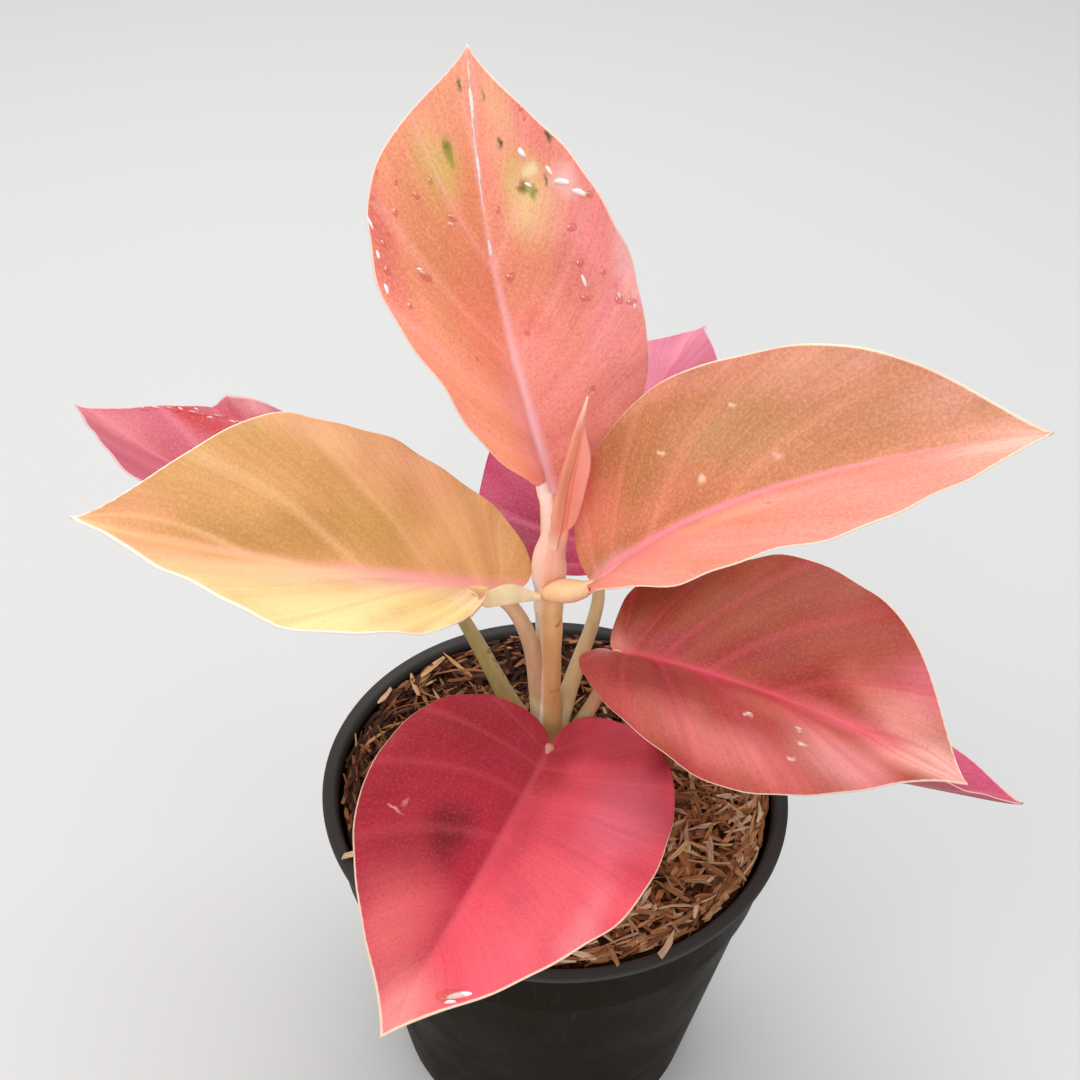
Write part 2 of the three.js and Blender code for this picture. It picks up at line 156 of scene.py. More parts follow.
camera = {
    "place": (0, -0.319478, 0.491413),
    "turn": (50.2065, -1.4201, 2.536),  # degrees
    "lens": 49.455,
    "sensor": 36,
    "sight": 100,  # metres
}
lens = bpy.data.cameras.new("camera")
lens.lens = camera["lens"]
lens.sensor_width = camera["sensor"]
lens.clip_end = camera["sight"]
scene.camera = newObject("camera", lens, camera["place"], [math.radians(a) for a in camera["turn"]])
scene.view_settings.view_transform = "Standard"  # keeps the pinks as strong as they are

lights = {
    # name: place, size, watts, colour; every one is aimed at the middle of the plant
    "overhead": ((-0.15, 0.62, 1.6), 1.3, 17, "#ffffff"),
    "window": ((-1.0, -0.6, 1.3), 0.9, 6, "#fffaf4"),
    "fill": ((1.2, -1.0, 0.9), 1.2, 4, "#fbfcff"),
    "front": ((-0.1, -0.9, 0.85), 0.4, 2.6, "#ffffff"),  # opens the folds of the leaves
}
aim = Vector((0, 0, 0.18))
for name, (place, size, watts, colour) in lights.items():
    light = bpy.data.lights.new(name, "AREA")
    light.size = size
    light.energy = watts
    light.color = hexColour(colour)[:3]
    newObject(name, light, place, (aim - Vector(place)).to_track_quat("-Z", "Y").to_euler())

world = bpy.data.worlds.new("studio")
scene.world = world
world.use_nodes = True
sky = world.node_tree.nodes["Background"].inputs
sky["Color"].default_value = hexColour("#f6f6f6")
sky["Strength"].default_value = 0.6

# Seamless paper: an even pale grey with no gloss
paper = newMaterial("studioPaper", {"Base Color": hexColour("#d3d3d3"), "Roughness": 0.9})[0]
far, level = 40, -0.0002  # metres, just under the pot
floorMesh = bpy.data.meshes.new("floor")
floorMesh.from_pydata([(-far, -far, level), (far, -far, level), (far, far, level), (-far, far, level)], [],
                      [(0, 1, 2, 3)])
floorMesh.materials.append(paper)
newObject("floor", floorMesh)
print("camera, light and floor ready")

# leaf form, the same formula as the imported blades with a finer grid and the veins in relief

bladeForm = {
    "thickness": 0.8,
    "edgeThickness": 0.4,
    "foot": (6, 0.12),  # within this length the sheet thins towards the base, down to this share
    "start": (2, 9),  # keel and relief begin this far from the base and are full after the second length
    "keel": 1.5,  # midrib standing out below
    "keelWidth": 1.7,
    "tipAngle": 30,
    "tipReach": 0.16,
    "shoulder": 0.56,
    "flank": 0.55,
    "heel": 0.75,
    "ripple": 0.9,
    "ripples": 2.6,
    "ripplePhase": (0.3, 0.7),
    "veinSpread": (0.12, 2.2),
    "veinBend": (0.25, 0.6),
    "crease": 1.1,  # rounding of the fold along the midrib
    "quilt": 0.85,  # swelling between two side veins
    "groove": 0.25,  # depth of a side vein
    "grooveWidth": 0.05,  # as a share of the space between two of them
    "uneven": 0.45,  # slow swelling of the whole sheet
    "unevenLengths": (52, 44, 27, 33),  # along, across, and both for the slanted one
    "wave": 0.8,  # unevenness of the margin
    "waves": (4.3, 9.6),  # how many along the blade
    "flapEnd": 0.025,
    "rows": 96,
    "columns": (0, 0.01, 0.02, 0.032, 0.048, 0.07, 0.1, 0.135, 0.175, 0.22, 0.27, 0.32, 0.37, 0.42, 0.47,
                0.52, 0.57, 0.62, 0.67, 0.72, 0.77, 0.82, 0.865, 0.905, 0.94, 0.967, 0.987, 1),
    "rimPoints": 240,
}

# Pairs are left, right looking from base to tip. Places on a blade are shares of its length along and
# millimetres across, positive to the left. Patches and marks are along, across, reach along, reach across,
# colour and strength. A margin is colour, left width and right width, a midrib colour, width and strength.
leaves = {
    "top": {
        "length": 120, "halfWidth": (44, 39), "widest": 0.44, "lobe": (-3, 6), "lobeWidth": 0.15,
        "base": (-6.4, 7.2, 239.8), "heading": 134, "rise": 63, "roll": 17, "sweep": -38, "droop": 12,
        "twist": -32, "fold": (32, 32), "curl": (2, -25), "slot": "leaf_salmon", "veins": 6, "lead": 0.12,
        "halves": ("#fb9c82", "#f6948a"), "paintedQuiltShade": ("#d98f66", 0.35), "midrib": ("#ffcad4", 2.8, 1.0),
        "fade": (0.08, 0.55), "veinColour": ("#f8aea4", 0.35), "margin": ("#fbdccd", 0.3, 0.35),
        "speck": ("#f7c391", "#b8523f"), "grain": 1.3,
        "patches": [
            (0.52, 0, 0.12, 42, "#da7a66", 0.6), (0.16, 0, 0.2, 42, "#ffb2a6", 0.55),
            (0.58, 21, 0.26, 17, "#d8885e", 0.85), (0.68, 4, 0.2, 8, "#dc9068", 0.7),
            (0.74, 13, 0.11, 9, "#cabc64", 0.75), (0.9, 6, 0.16, 14, "#eaa284", 0.7),
            (0.65, -13, 0.11, 8, "#cfc864", 1.0), (0.55, -12, 0.2, 12, "#e29c7a", 0.6),
            (0.83, -8, 0.14, 6, "#f4bc98", 0.8), (0.42, -30, 0.34, 14, "#f79ca4", 0.85),
            (0.1, -8, 0.2, 20, "#f28f86", 0.7), (0.12, 8, 0.2, 9, "#ffb0ac", 0.9),
            (0.2, 27, 0.26, 14, "#ffa987", 0.9), (0.58, 40, 0.2, 8, "#e0726a", 0.9),
            (0.38, 14, 0.16, 12, "#ee8468", 0.6), (0.62, -16, 0.11, 9, "#fbe0b4", 0.55),
            (0.46, -20, 0.09, 8, "#d4786a", 0.6), (0.37, -9, 0.05, 5, "#e0645e", 0.5),
            # the pale patch at 0.45 along and 38 mm right is painted reflection, the sheen of water at the
            # right margin
            (0.45, -38, 0.12, 5, "#ffd6da", 0.6), (0.63, 37, 0.16, 5, "#dc6e64", 0.6),
        ],
        "marks": [
            (0.77, 9, 0.03, 1.7, "#5f7a1e", 0.85), (0.74, 8.4, 0.022, 1.2, "#7e9430", 0.7),
            (0.91, 3, 0.016, 0.9, "#4f6a2c", 0.8), (0.88, -4.6, 0.022, 0.9, "#6c7d34", 0.75),
            (0.77, -8.2, 0.02, 1.1, "#2f5427", 0.9), (0.67, -13, 0.024, 2.4, "#5d7d1f", 0.85),
            (0.65, -15.6, 0.018, 1.6, "#73902a", 0.8), (0.7, -16, 0.02, 3, "#f3ecc0", 0.8),
            (0.76, -24.2, 0.018, 0.9, "#34573a", 0.9), (0.67, -20.6, 0.016, 0.9, "#4c6b33", 0.8),
            # the pale mark at 0.66 along and 26 mm right is painted reflection of the water lying there
            (0.66, -26, 0.05, 5, "#fbdcd8", 0.6),
        ],
    },
    "left": {
        "length": 118, "halfWidth": (36, 44), "widest": 0.45, "lobe": (-16, 15), "lobeWidth": 0.25,
        "base": (-18.7, -11, 215.2), "heading": 212, "rise": 28, "roll": 2, "sweep": -31, "droop": 12,
        "twist": -3, "fold": (32, 32), "curl": (39, 3), "slot": "leaf_ochre", "veins": 5, "lead": 0.2,
        "halves": ("#ffd59c", "#d8a268"), "paintedQuiltShade": ("#bb9050", 0.4), "midrib": ("#fdb4b0", 4.2, 0.85),
        "fade": (0.25, 0.5), "veinColour": ("#ecbf8c", 0.45), "margin": ("#fff2e2", 0.9, 0.3),
        "foot": "#ffe0a0", "speck": ("#efc888", "#b67c3e"),
        "patches": [
            (0.34, -14, 0.18, 12, "#c9a05c", 0.9), (0.5, -10, 0.16, 10, "#b98a4e", 0.9),
            (0.68, -4, 0.24, 8, "#b98850", 0.95), (0.8, -14, 0.16, 8, "#cd965c", 0.9),
            (0.72, -24, 0.16, 10, "#cf9a62", 0.8), (0.5, -26, 0.2, 12, "#d5a066", 0.6),
            (0.1, -18, 0.16, 22, "#f2bc82", 0.85), (0.2, -34, 0.24, 12, "#f4b98c", 0.85),
            (0.45, -40, 0.36, 8, "#f2bd90", 0.85), (0.9, -8, 0.14, 10, "#e09c74", 0.8),
            (0.78, 10, 0.26, 13, "#efa678", 0.95), (0.6, 12, 0.26, 9, "#fbc69c", 0.8),
            # the pale yellow patches on the left half carry its glow further: painted light shining through
            # the blade
            (0.26, 8, 0.3, 9, "#ffccc0", 0.9), (0.24, 23, 0.2, 12, "#fde294", 0.85),
            (0.52, 30, 0.16, 10, "#fbdf9c", 0.6), (0.05, 12, 0.14, 12, "#fbdc92", 0.8),
            (0.13, 20, 0.12, 13, "#fff0c4", 0.8),
        ],
    },
    "right": {
        "length": 134, "halfWidth": (36, 36.5), "widest": 0.44, "lobe": (4, -13), "lobeWidth": 0.24,
        "base": (9.1, -8.6, 217.9), "heading": -30, "rise": 59, "roll": 21, "sweep": 33, "droop": 50,
        "twist": -1, "fold": (32, 32), "curl": (-25, 6), "slot": "leaf_tan", "veins": 5, "lead": 0.18,
        "halves": ("#cd8c66", "#f39489"), "paintedQuiltShade": ("#b57e54", 0.4), "midrib": ("#ff9cae", 2.4, 0.85),
        "veinColour": ("#eba181", 0.35), "margin": ("#fdebcf", 0.5, 0.25), "foot": "#ffa89c",
        "speck": ("#f6c694", "#a85a34"), "grain": 1.2,
        "patches": [
            (0.17, 22, 0.16, 16, "#b97e54", 0.85), (0.46, 17, 0.18, 11, "#cb9c70", 0.85),
            (0.28, 8, 0.2, 7, "#d98a70", 0.7), (0.68, 12, 0.2, 11, "#c98a68", 0.7),
            (0.66, 28, 0.2, 9, "#eda791", 0.9), (0.86, 12, 0.14, 10, "#e09a84", 0.8),
            (0.5, 35, 0.4, 5, "#eda28e", 0.8), (0.04, 22, 0.14, 22, "#ef8c78", 0.85),
            (0.36, -8, 0.18, 5, "#f8b286", 0.85), (0.55, -6, 0.4, 5, "#fba8a2", 0.7),
            (0.68, -14, 0.2, 7, "#f2968a", 0.7), (0.94, -4, 0.16, 10, "#fcbcae", 0.9),
            (0.16, -10, 0.18, 12, "#f4909a", 0.8), (0.2, 4, 0.3, 3, "#c97a5c", 0.7),
            (0.04, -4, 0.14, 8, "#ffd4e2", 0.95),
        ],
        "marks": [
            (0.36, 9, 0.011, 1.1, "#fbe2cc", 0.8), (0.3, 20, 0.008, 0.9, "#f8e0c0", 0.8),
            (0.47, 24, 0.008, 0.8, "#f8e2c4", 0.7), (0.52, 8, 0.009, 1.2, "#f4c4b4", 0.6),
            (0.5, -8, 0.008, 0.7, "#b9524a", 0.7),
        ],
    },
    "lower_right": {
        "length": 106, "halfWidth": (44, 44), "widest": 0.4, "lobe": (5, 3), "lobeWidth": 0.43,
        "base": (16.1, -4.3, 186.9), "heading": -22, "rise": 9, "roll": -19, "sweep": -12, "droop": 12,
        "twist": 32, "fold": (32, 32), "curl": (5, 59), "slot": "leaf_russet", "veins": 6, "lead": 0.16,
        "halves": ("#9c3e2c", "#b8423c"), "paintedQuiltShade": ("#a5603a", 0.35), "midrib": ("#d8465e", 2.2, 0.6),
        "veinColour": ("#c9505c", 0.3), "margin": ("#f7d9c2", 0.3, 0.3), "speck": ("#cc6c50", "#7c2a24"),
        "grain": 1.2,
        "patches": [
            (0.25, 26, 0.3, 16, "#9a4a32", 0.8), (0.12, 6, 0.2, 8, "#9c2e36", 0.85),
            (0.38, -1, 0.5, 6, "#cc3c52", 0.75), (0.66, 14, 0.1, 8, "#da786a", 0.8),
            (-0.02, -3, 0.08, 12, "#e8968a", 0.7), (0.42, 10, 0.26, 9, "#98302e", 0.85),
            (0.62, 26, 0.22, 14, "#ac4c42", 0.7), (0.84, 20, 0.16, 12, "#dc7480", 0.85),
            (0.8, 9, 0.14, 8, "#f4a09a", 0.9), (0.68, 0, 0.2, 6, "#e8727c", 0.85),
            (0.82, -4, 0.12, 7, "#ffa69e", 0.9), (0.93, 0, 0.14, 9, "#ffc2b6", 0.95),
            (0.14, -18, 0.22, 16, "#9c2826", 0.9), (0.35, -9, 0.22, 8, "#b23a3e", 0.75),
            (0.56, -11, 0.2, 7, "#e0706c", 0.8), (0.45, -34, 0.34, 9, "#f28480", 0.9),
            (0.72, -18, 0.18, 12, "#f7a09e", 0.9),
        ],
        "marks": [
            (0.45, -18, 0.014, 1.2, "#f6e6df", 0.9), (0.58, -15, 0.012, 1.0, "#f6e9e2", 0.9),
            (0.61, -20, 0.016, 0.8, "#f2dcd4", 0.8), (0.61, -26.5, 0.01, 1.0, "#f2dcd4", 0.7),
            (0.15, -11, 0.012, 1.0, "#6e201e", 0.7),
        ],
    },
    "front": {
        "length": 112, "halfWidth": (47, 42.5), "widest": 0.36, "lobe": (20, 6), "lobeWidth": 0.23,
        "base": (-2.5, -11.5, 152.2), "heading": -106, "rise": 9, "roll": -17, "sweep": -8, "droop": 12,
        "twist": 7, "fold": (22, 23), "curl": (-6, 20), "slot": "leaf_crimson", "veins": 6, "lead": 0.05,
        "halves": ("#f4586a", "#bb3246"), "paintedQuiltShade": ("#a02438", 0.25), "midrib": ("#d9556c", 1.5, 0.45),
        "veinColour": ("#e0606f", 0.22), "margin": ("#f9dcc0", 0.5, 0.45), "speck": ("#f0606c", "#8c1f33"),
        "patches": [
            (-0.05, 18, 0.14, 22, "#bb324a", 0.5), (0.62, 35, 0.2, 6, "#fda6ac", 0.7),
            (0.05, 3, 0.26, 10, "#a92a38", 0.85), (0.36, 5, 0.16, 6, "#cf3f52", 0.7),
            (0.22, 32, 0.22, 16, "#ff7c94", 0.95), (-0.03, 38, 0.1, 10, "#8a1826", 0.9),
            (0.6, 24, 0.3, 18, "#fb6f7c", 0.7), (0.1, -26, 0.3, 20, "#a02534", 0.85),
            (0.46, -14, 0.13, 8, "#6f1f29", 0.8), (0.6, -22, 0.16, 9, "#a8343e", 0.6),
            (0.76, -13, 0.2, 14, "#ea6c6e", 0.9), (0.94, 0, 0.16, 12, "#ff9490", 0.95),
            (0.4, -37, 0.34, 8, "#a82e38", 0.7),
        ],
        "marks": [
            (0.5, -29.5, 0.006, 2.6, "#f6b9ae", 0.85), (0.47, -28.5, 0.02, 0.5, "#e9a49a", 0.6),
        ],
    },
    "back_left": {
        "length": 125, "halfWidth": (44, 36), "widest": 0.43, "lobe": (-1, 4.5), "lobeWidth": 0.15,
        "base": (-42.2, 32, 182.8), "heading": 187, "rise": 25, "roll": -14, "sweep": -38, "droop": 12,
        "twist": 32, "fold": (24, 30), "curl": (-10, 27), "slot": "leaf_pink", "veins": 6, "lead": 0.1,
        "flaps": [(-1, 0.5, 0.7, 6)],  # turned up margin: side, from and to as shares along, height
        "halves": ("#cf6678", "#c65a6c"), "paintedQuiltShade": ("#b44a5c", 0.4), "midrib": ("#e0808c", 2, 0.7),
        "veinColour": ("#dc7f8c", 0.5), "margin": ("#efc0bf", 0.35, 0.35), "speck": ("#e69a98", "#9c3a50"),
        "patches": [
            (0.74, -19.5, 0.24, 5, "#bf2329", 1.0), (0.55, -24, 0.14, 6, "#b8323c", 0.8),
            (0.64, -32, 0.14, 4, "#f2b0b6", 0.95), (0.9, 0, 0.2, 10, "#d98084", 0.8),
            (0.55, 6, 0.3, 14, "#d56f80", 0.6), (0.15, 0, 0.3, 26, "#b84a5e", 0.7),
        ],
    },
    "back_right": {
        "length": 110, "halfWidth": (44, 36), "widest": 0.28, "lobe": (3, -1), "lobeWidth": 0.5,
        "base": (9.5, 20.2, 197.2), "heading": 81, "rise": 25, "roll": -31, "sweep": -20, "droop": 22,
        "twist": 3, "fold": (28, 31), "curl": (1, 60), "slot": "leaf_pink", "veins": 6, "lead": 0.08,
        "halves": ("#b43a5c", "#b03a5a"), "paintedQuiltShade": ("#a03050", 0.4), "midrib": ("#cf6480", 2, 0.7),
        "veinColour": ("#cc6480", 0.55), "margin": ("#efb9c4", 0.3, 0.3), "speck": ("#d77a90", "#8c2446"),
        "patches": [
            # painted light and shade: the pale pink towards the tip is light shining through the blade, and
            # the dark patches near the base are the shade of the leaves above
            (0.9, 0, 0.4, 30, "#ee93a8", 0.95), (0.6, -10, 0.3, 20, "#dc7690", 0.8),
            (0.2, 20, 0.3, 24, "#a63152", 0.8), (0.11, 22, 0.13, 15, "#8e1e3a", 0.8),
        ],
    },
    "side_right": {
        "length": 117, "halfWidth": (30, 38), "widest": 0.46, "lobe": (12, -2), "lobeWidth": 0.16,
        "base": (29.2, 12, 143), "heading": -28, "rise": 10, "roll": 19, "sweep": 20, "droop": 12,
        "twist": -24, "fold": (29, 46), "curl": (60, -25), "slot": "leaf_pink", "veins": 6, "lead": 0.1,
        "halves": ("#c9506e", "#c4506a"), "paintedQuiltShade": ("#b03c58", 0.4), "midrib": ("#d97488", 2, 0.7),
        "veinColour": ("#d9748c", 0.5), "margin": ("#f0c4b8", 0.4, 0.4), "speck": ("#e28a98", "#95304c"),
        "patches": [
            (0.85, 6, 0.25, 14, "#d2567a", 0.8), (0.3, 0, 0.4, 30, "#b8465e", 0.7),
        ],
    },
}


def wave(turns):
    return np.sin(2 * math.pi * turns)


def bezierPoints(corners, count):
    t = np.linspace(0, 1, count)[:, None]
    a, b, c, d = (np.array(p, float) for p in corners)
    return (1 - t) ** 3 * a + 3 * (1 - t) ** 2 * t * b + 3 * (1 - t) * t ** 2 * c + t ** 3 * d


def halfOutline(leaf, half, shares):
    # margin of one half of the flat blade at shares of its length, x along the midrib and y across
    length, width, lobe = leaf["length"], leaf["halfWidth"][half], leaf["lobe"][half]
    lobeY = leaf["lobeWidth"] * width
    widestX = leaf["widest"] * length
    tip = math.radians(bladeForm["tipAngle"])
    reach = bladeForm["tipReach"] * length
    flank, heel, shoulder = bladeForm["flank"], bladeForm["heel"], bladeForm["shoulder"]
    curves = [
        [(0, 0), (-heel * lobe, 0), (-lobe, lobeY / 2), (-lobe, lobeY)],
        [(-lobe, lobeY), (-lobe, lobeY + flank * (width - lobeY)),
         (widestX - flank * (widestX + lobe), width), (widestX, width)],
        [(widestX, width), (widestX + shoulder * (length - widestX), width),
         (length - math.cos(tip) * reach, math.sin(tip) * reach), (length, 0)],
    ]
    line = np.vstack([bezierPoints(c, 300) for c in curves])
    travel = np.concatenate([[0], np.cumsum(np.linalg.norm(np.diff(line, axis=0), axis=1))])
    return np.stack([np.interp(shares * travel[-1], travel, line[:, k]) for k in (0, 1)], -1)


def midribFrame(leaf, along):
    # place on the midrib at distances from the base, with the directions along it, to its left and up
    def directions(share):
        turn = np.radians(leaf["heading"] + leaf["sweep"] * share)
        rise = np.radians(leaf["rise"] - leaf["droop"] * share)
        forward = np.stack([np.cos(rise) * np.cos(turn), np.cos(rise) * np.sin(turn), np.sin(rise)], -1)
        return forward, np.stack([-np.sin(turn), np.cos(turn), 0 * turn], -1)

    steps = 48
    length = leaf["length"]
    middles, _ = directions((np.arange(steps) + 0.5) / steps)
    spine = np.vstack([[0, 0, 0], np.cumsum(middles * length / steps, axis=0)]) + np.array(leaf["base"])
    share = np.clip(along / length, 0, 1)
    forward, left = directions(share)
    up = np.cross(forward, left)
    roll = np.radians(leaf["roll"] + leaf["twist"] * share)[..., None]
    left, up = left * np.cos(roll) + up * np.sin(roll), up * np.cos(roll) - left * np.sin(roll)
    knots = np.linspace(0, 1, steps + 1)
    point = np.stack([np.interp(share, knots, spine[:, k]) for k in range(3)], -1)
    return point + forward * np.minimum(along, 0)[..., None], left, up


def bladePoint(leaf, along, across, half):
    # middle surface of a blade, folded along the midrib, curled across and rippled at the margin
    width = leaf["halfWidth"][half]
    fold = math.radians(leaf["fold"][half])
    bend = math.radians(leaf["curl"][half]) / width
    out = (math.sin(fold) - np.sin(fold - bend * across)) / bend
    rounded = np.sqrt(across ** 2 + bladeForm["crease"] ** 2)
    lift = (np.cos(fold - bend * rounded) - math.cos(fold)) / bend
    turns = bladeForm["ripples"] * along / leaf["length"] + bladeForm["ripplePhase"][half]
    lift = lift + bladeForm["ripple"] * (across / width) ** 2 * wave(turns)
    point, left, up = midribFrame(leaf, along)
    return point + left * ((-1) ** half * out)[..., None] + up * lift[..., None]


def gridNormals(points):
    # unit normals of a grid of points, rows along the midrib and columns across to the left
    normal = np.cross(np.gradient(points, axis=0), np.gradient(points, axis=1))
    normal /= np.maximum(np.linalg.norm(normal, axis=-1, keepdims=True), 1e-9)
    normal[0], normal[-1] = normal[1].mean(0), normal[-2].mean(0)
    return normal / np.linalg.norm(normal, axis=-1, keepdims=True)


def bladeGrid(leaf):
    # points, normals and flat coordinates of a blade, from the right margin over the midrib to the left one
    shares = np.linspace(0, 1, bladeForm["rows"] + 1)
    c = np.array(bladeForm["columns"])[None]
    even, drawn = bladeForm["veinSpread"]
    lead, bow = bladeForm["veinBend"]
    start = (leaf["length"] * (even * shares + (1 - even) * shares ** drawn))[:, None]
    halves = []
    for half in (0, 1):
        edge = halfOutline(leaf, half, shares)
        edgeX, edgeY = edge[:, :1], edge[:, 1:]
        along = (1 - c) ** 2 * start + 2 * c * (1 - c) * (start + lead * (edgeX - start)) + c ** 2 * edgeX
        across = 2 * c * (1 - c) * bow * edgeY + c ** 2 * edgeY
        for row in (0, -1):
            along[row], across[row] = edgeX[row], edgeY[row]
        rim = halfOutline(leaf, half, np.linspace(0, 1, bladeForm["rimPoints"]))
        flat = np.stack([along, across], -1)
        toEdge = np.min(np.linalg.norm(flat[:, :, None] - rim, axis=-1), axis=-1)
        toEdge[:, -1] = 0
        halves.append({"points": bladePoint(leaf, along, across, half), "along": along, "toEdge": toEdge,
                       "across": (-1) ** half * across, "column": np.repeat(c, len(shares), 0)})
    left, right = halves
    grid = {key: np.concatenate([right[key][:, ::-1], left[key][:, 1:]], axis=1) for key in left}
    grid["share"] = np.repeat(shares[:, None], grid["column"].shape[1], 1)
    grid["normals"] = gridNormals(grid["points"])
    # a number that is whole on each side vein
    grid["vein"] = (grid["share"] + leaf["lead"] * (1 - grid["column"]) ** 1.6) * leaf["veins"]
    return grid


def bladeRelief(leaf, grid, seed):
    # how far the sheet rises: pillows between the side veins, a slow unevenness, small waves at the margin
    form = bladeForm
    share, column, vein = grid["share"], grid["column"], grid["vein"]
    draw = random.Random(seed)
    phase = [draw.random() for _ in range(5)]
    inside = column ** 0.5 * (1 - column) ** 0.35 * (1 - share) ** 0.3
    fromVein = np.abs(vein - np.round(vein)) / form["grooveWidth"]
    relief = form["quilt"] * (np.sin(math.pi * vein) ** 2 - 0.5) - form["groove"] * np.exp(-fromVein ** 2)
    a, b, c, d = form["unevenLengths"]
    uneven = wave(grid["along"] / a + phase[0]) * wave(grid["across"] / b + phase[1])
    uneven += 0.6 * wave(grid["along"] / c - grid["across"] / d + phase[2])
    few, many = form["waves"]
    waves = wave(few * share + phase[3]) + 0.5 * wave(many * share + phase[4])
    waves = form["wave"] * column ** 5 * waves * np.sin(math.pi * share)
    for side, start, end, height in leaf.get("flaps", []):
        along = np.clip((share - start) / (end - start), 0, 1) ** 1.4
        along = along * np.clip((end + form["flapEnd"] - share) / form["flapEnd"], 0, 1)
        waves = waves + height * along * column ** 14 * (grid["across"] * side > 0)
    return inside * (relief + form["uneven"] * uneven) + waves


# upper side of each blade for what lies on it: flat coordinates, rise above the middle and normals
surfaces = {}


def bladePiece(name, materials, seed):
    leaf = leaves[name]
    grid = bladeGrid(leaf)
    relief = bladeRelief(leaf, grid, seed)
    fromBase = np.hypot(grid["along"], grid["across"])
    half = bladeForm["edgeThickness"] / 2
    half = half + (bladeForm["thickness"] / 2 - half) * (1 - grid["column"]) ** 0.8
    foot, thin = bladeForm["foot"]
    half = half * np.clip(fromBase / foot, thin, 1)
    start, rise = bladeForm["start"]
    keel = bladeForm["keel"] * (1 - grid["share"]) * np.exp(-(grid["across"] / bladeForm["keelWidth"]) ** 2)
    keel = keel * np.clip((grid["along"] - start) / rise, 0, 1)
    relief = relief * np.clip((fromBase - start) / rise, 0, 1)
    over = grid["points"] + grid["normals"] * (relief + half)[..., None]
    under = grid["points"] + grid["normals"] * (relief - half - keel)[..., None]

    rows, wide = relief.shape
    count = rows * wide
    index = np.arange(count).reshape(rows, wide)
    index[0], index[-1] = index[0, wide // 2], index[-1, wide // 2]  # both ends run to a point
    a, b, c, d = index[:-1, :-1], index[:-1, 1:], index[1:, 1:], index[1:, :-1]
    right, left = index[:, 0], index[:, -1]
    blocks = [
        (0, (a, d, c, b)), (1, (a + count, b + count, c + count, d + count)),
        (0, (right[:-1], right[:-1] + count, right[1:] + count, right[1:])),
        (0, (left[:-1], left[1:], left[1:] + count, left[:-1] + count)),
    ]
    faces, kinds = [], []
    for kind, corners in blocks:
        for face in np.stack(corners, -1).reshape(-1, 4).tolist():
            face = [v for k, v in enumerate(face) if v != face[k - 1]]
            if len(face) > 2:
                faces.append(face)
                kinds.append(kind)
    used = np.zeros(2 * count, bool)
    used[np.concatenate(faces)] = True
    renumber = (np.cumsum(used) - 1).tolist()
    faces = [[renumber[v] for v in face] for face in faces]

    vertices = np.vstack([over.reshape(-1, 3), under.reshape(-1, 3)])[used]
    place = np.stack([grid["along"] / leaf["length"], grid["across"], grid["toEdge"]], -1).reshape(-1, 3)
    values = {"place": np.vstack([place, place])[used], "vein": np.tile(grid["vein"].ravel(), 2)[used]}
    surfaces[name] = (np.stack([grid["along"], grid["across"]], -1).reshape(-1, 2), (relief + half).ravel(),
                      grid["normals"].reshape(-1, 3))
    meshPiece("blade_" + name, vertices, faces, materials, leaf["slot"], "blade_" + name, kinds, values)


# leaf finishes

def softPatch(add, place, patch):
    # factor of an oval patch that fades out to its reach
    along, across, reachAlong, reachAcross, _, strength = patch
    centred = add("VectorMath", {"operation": "MULTIPLY_ADD", 1: (1 / reachAlong, 1 / reachAcross, 0),
                                 2: (-along / reachAlong, -across / reachAcross, 0)}, {0: place})
    distance = add("VectorMath", {"operation": "LENGTH"}, {0: centred})
    return add("MapRange", {**softEdge, "From Min": 1.25, "From Max": 0.15, "To Max": strength},
               {"Value": distance})


def shaken(add, place, noise, along, across):
    # places pushed about by a noise, up to half of along and across each way
    push = add("VectorMath", {"operation": "MULTIPLY_ADD", 1: (along, across, 0),
                              2: (-along / 2, -across / 2, 0)}, {0: noise.outputs["Color"]})
    return add("VectorMath", {"operation": "ADD"}, {0: place, 1: push})


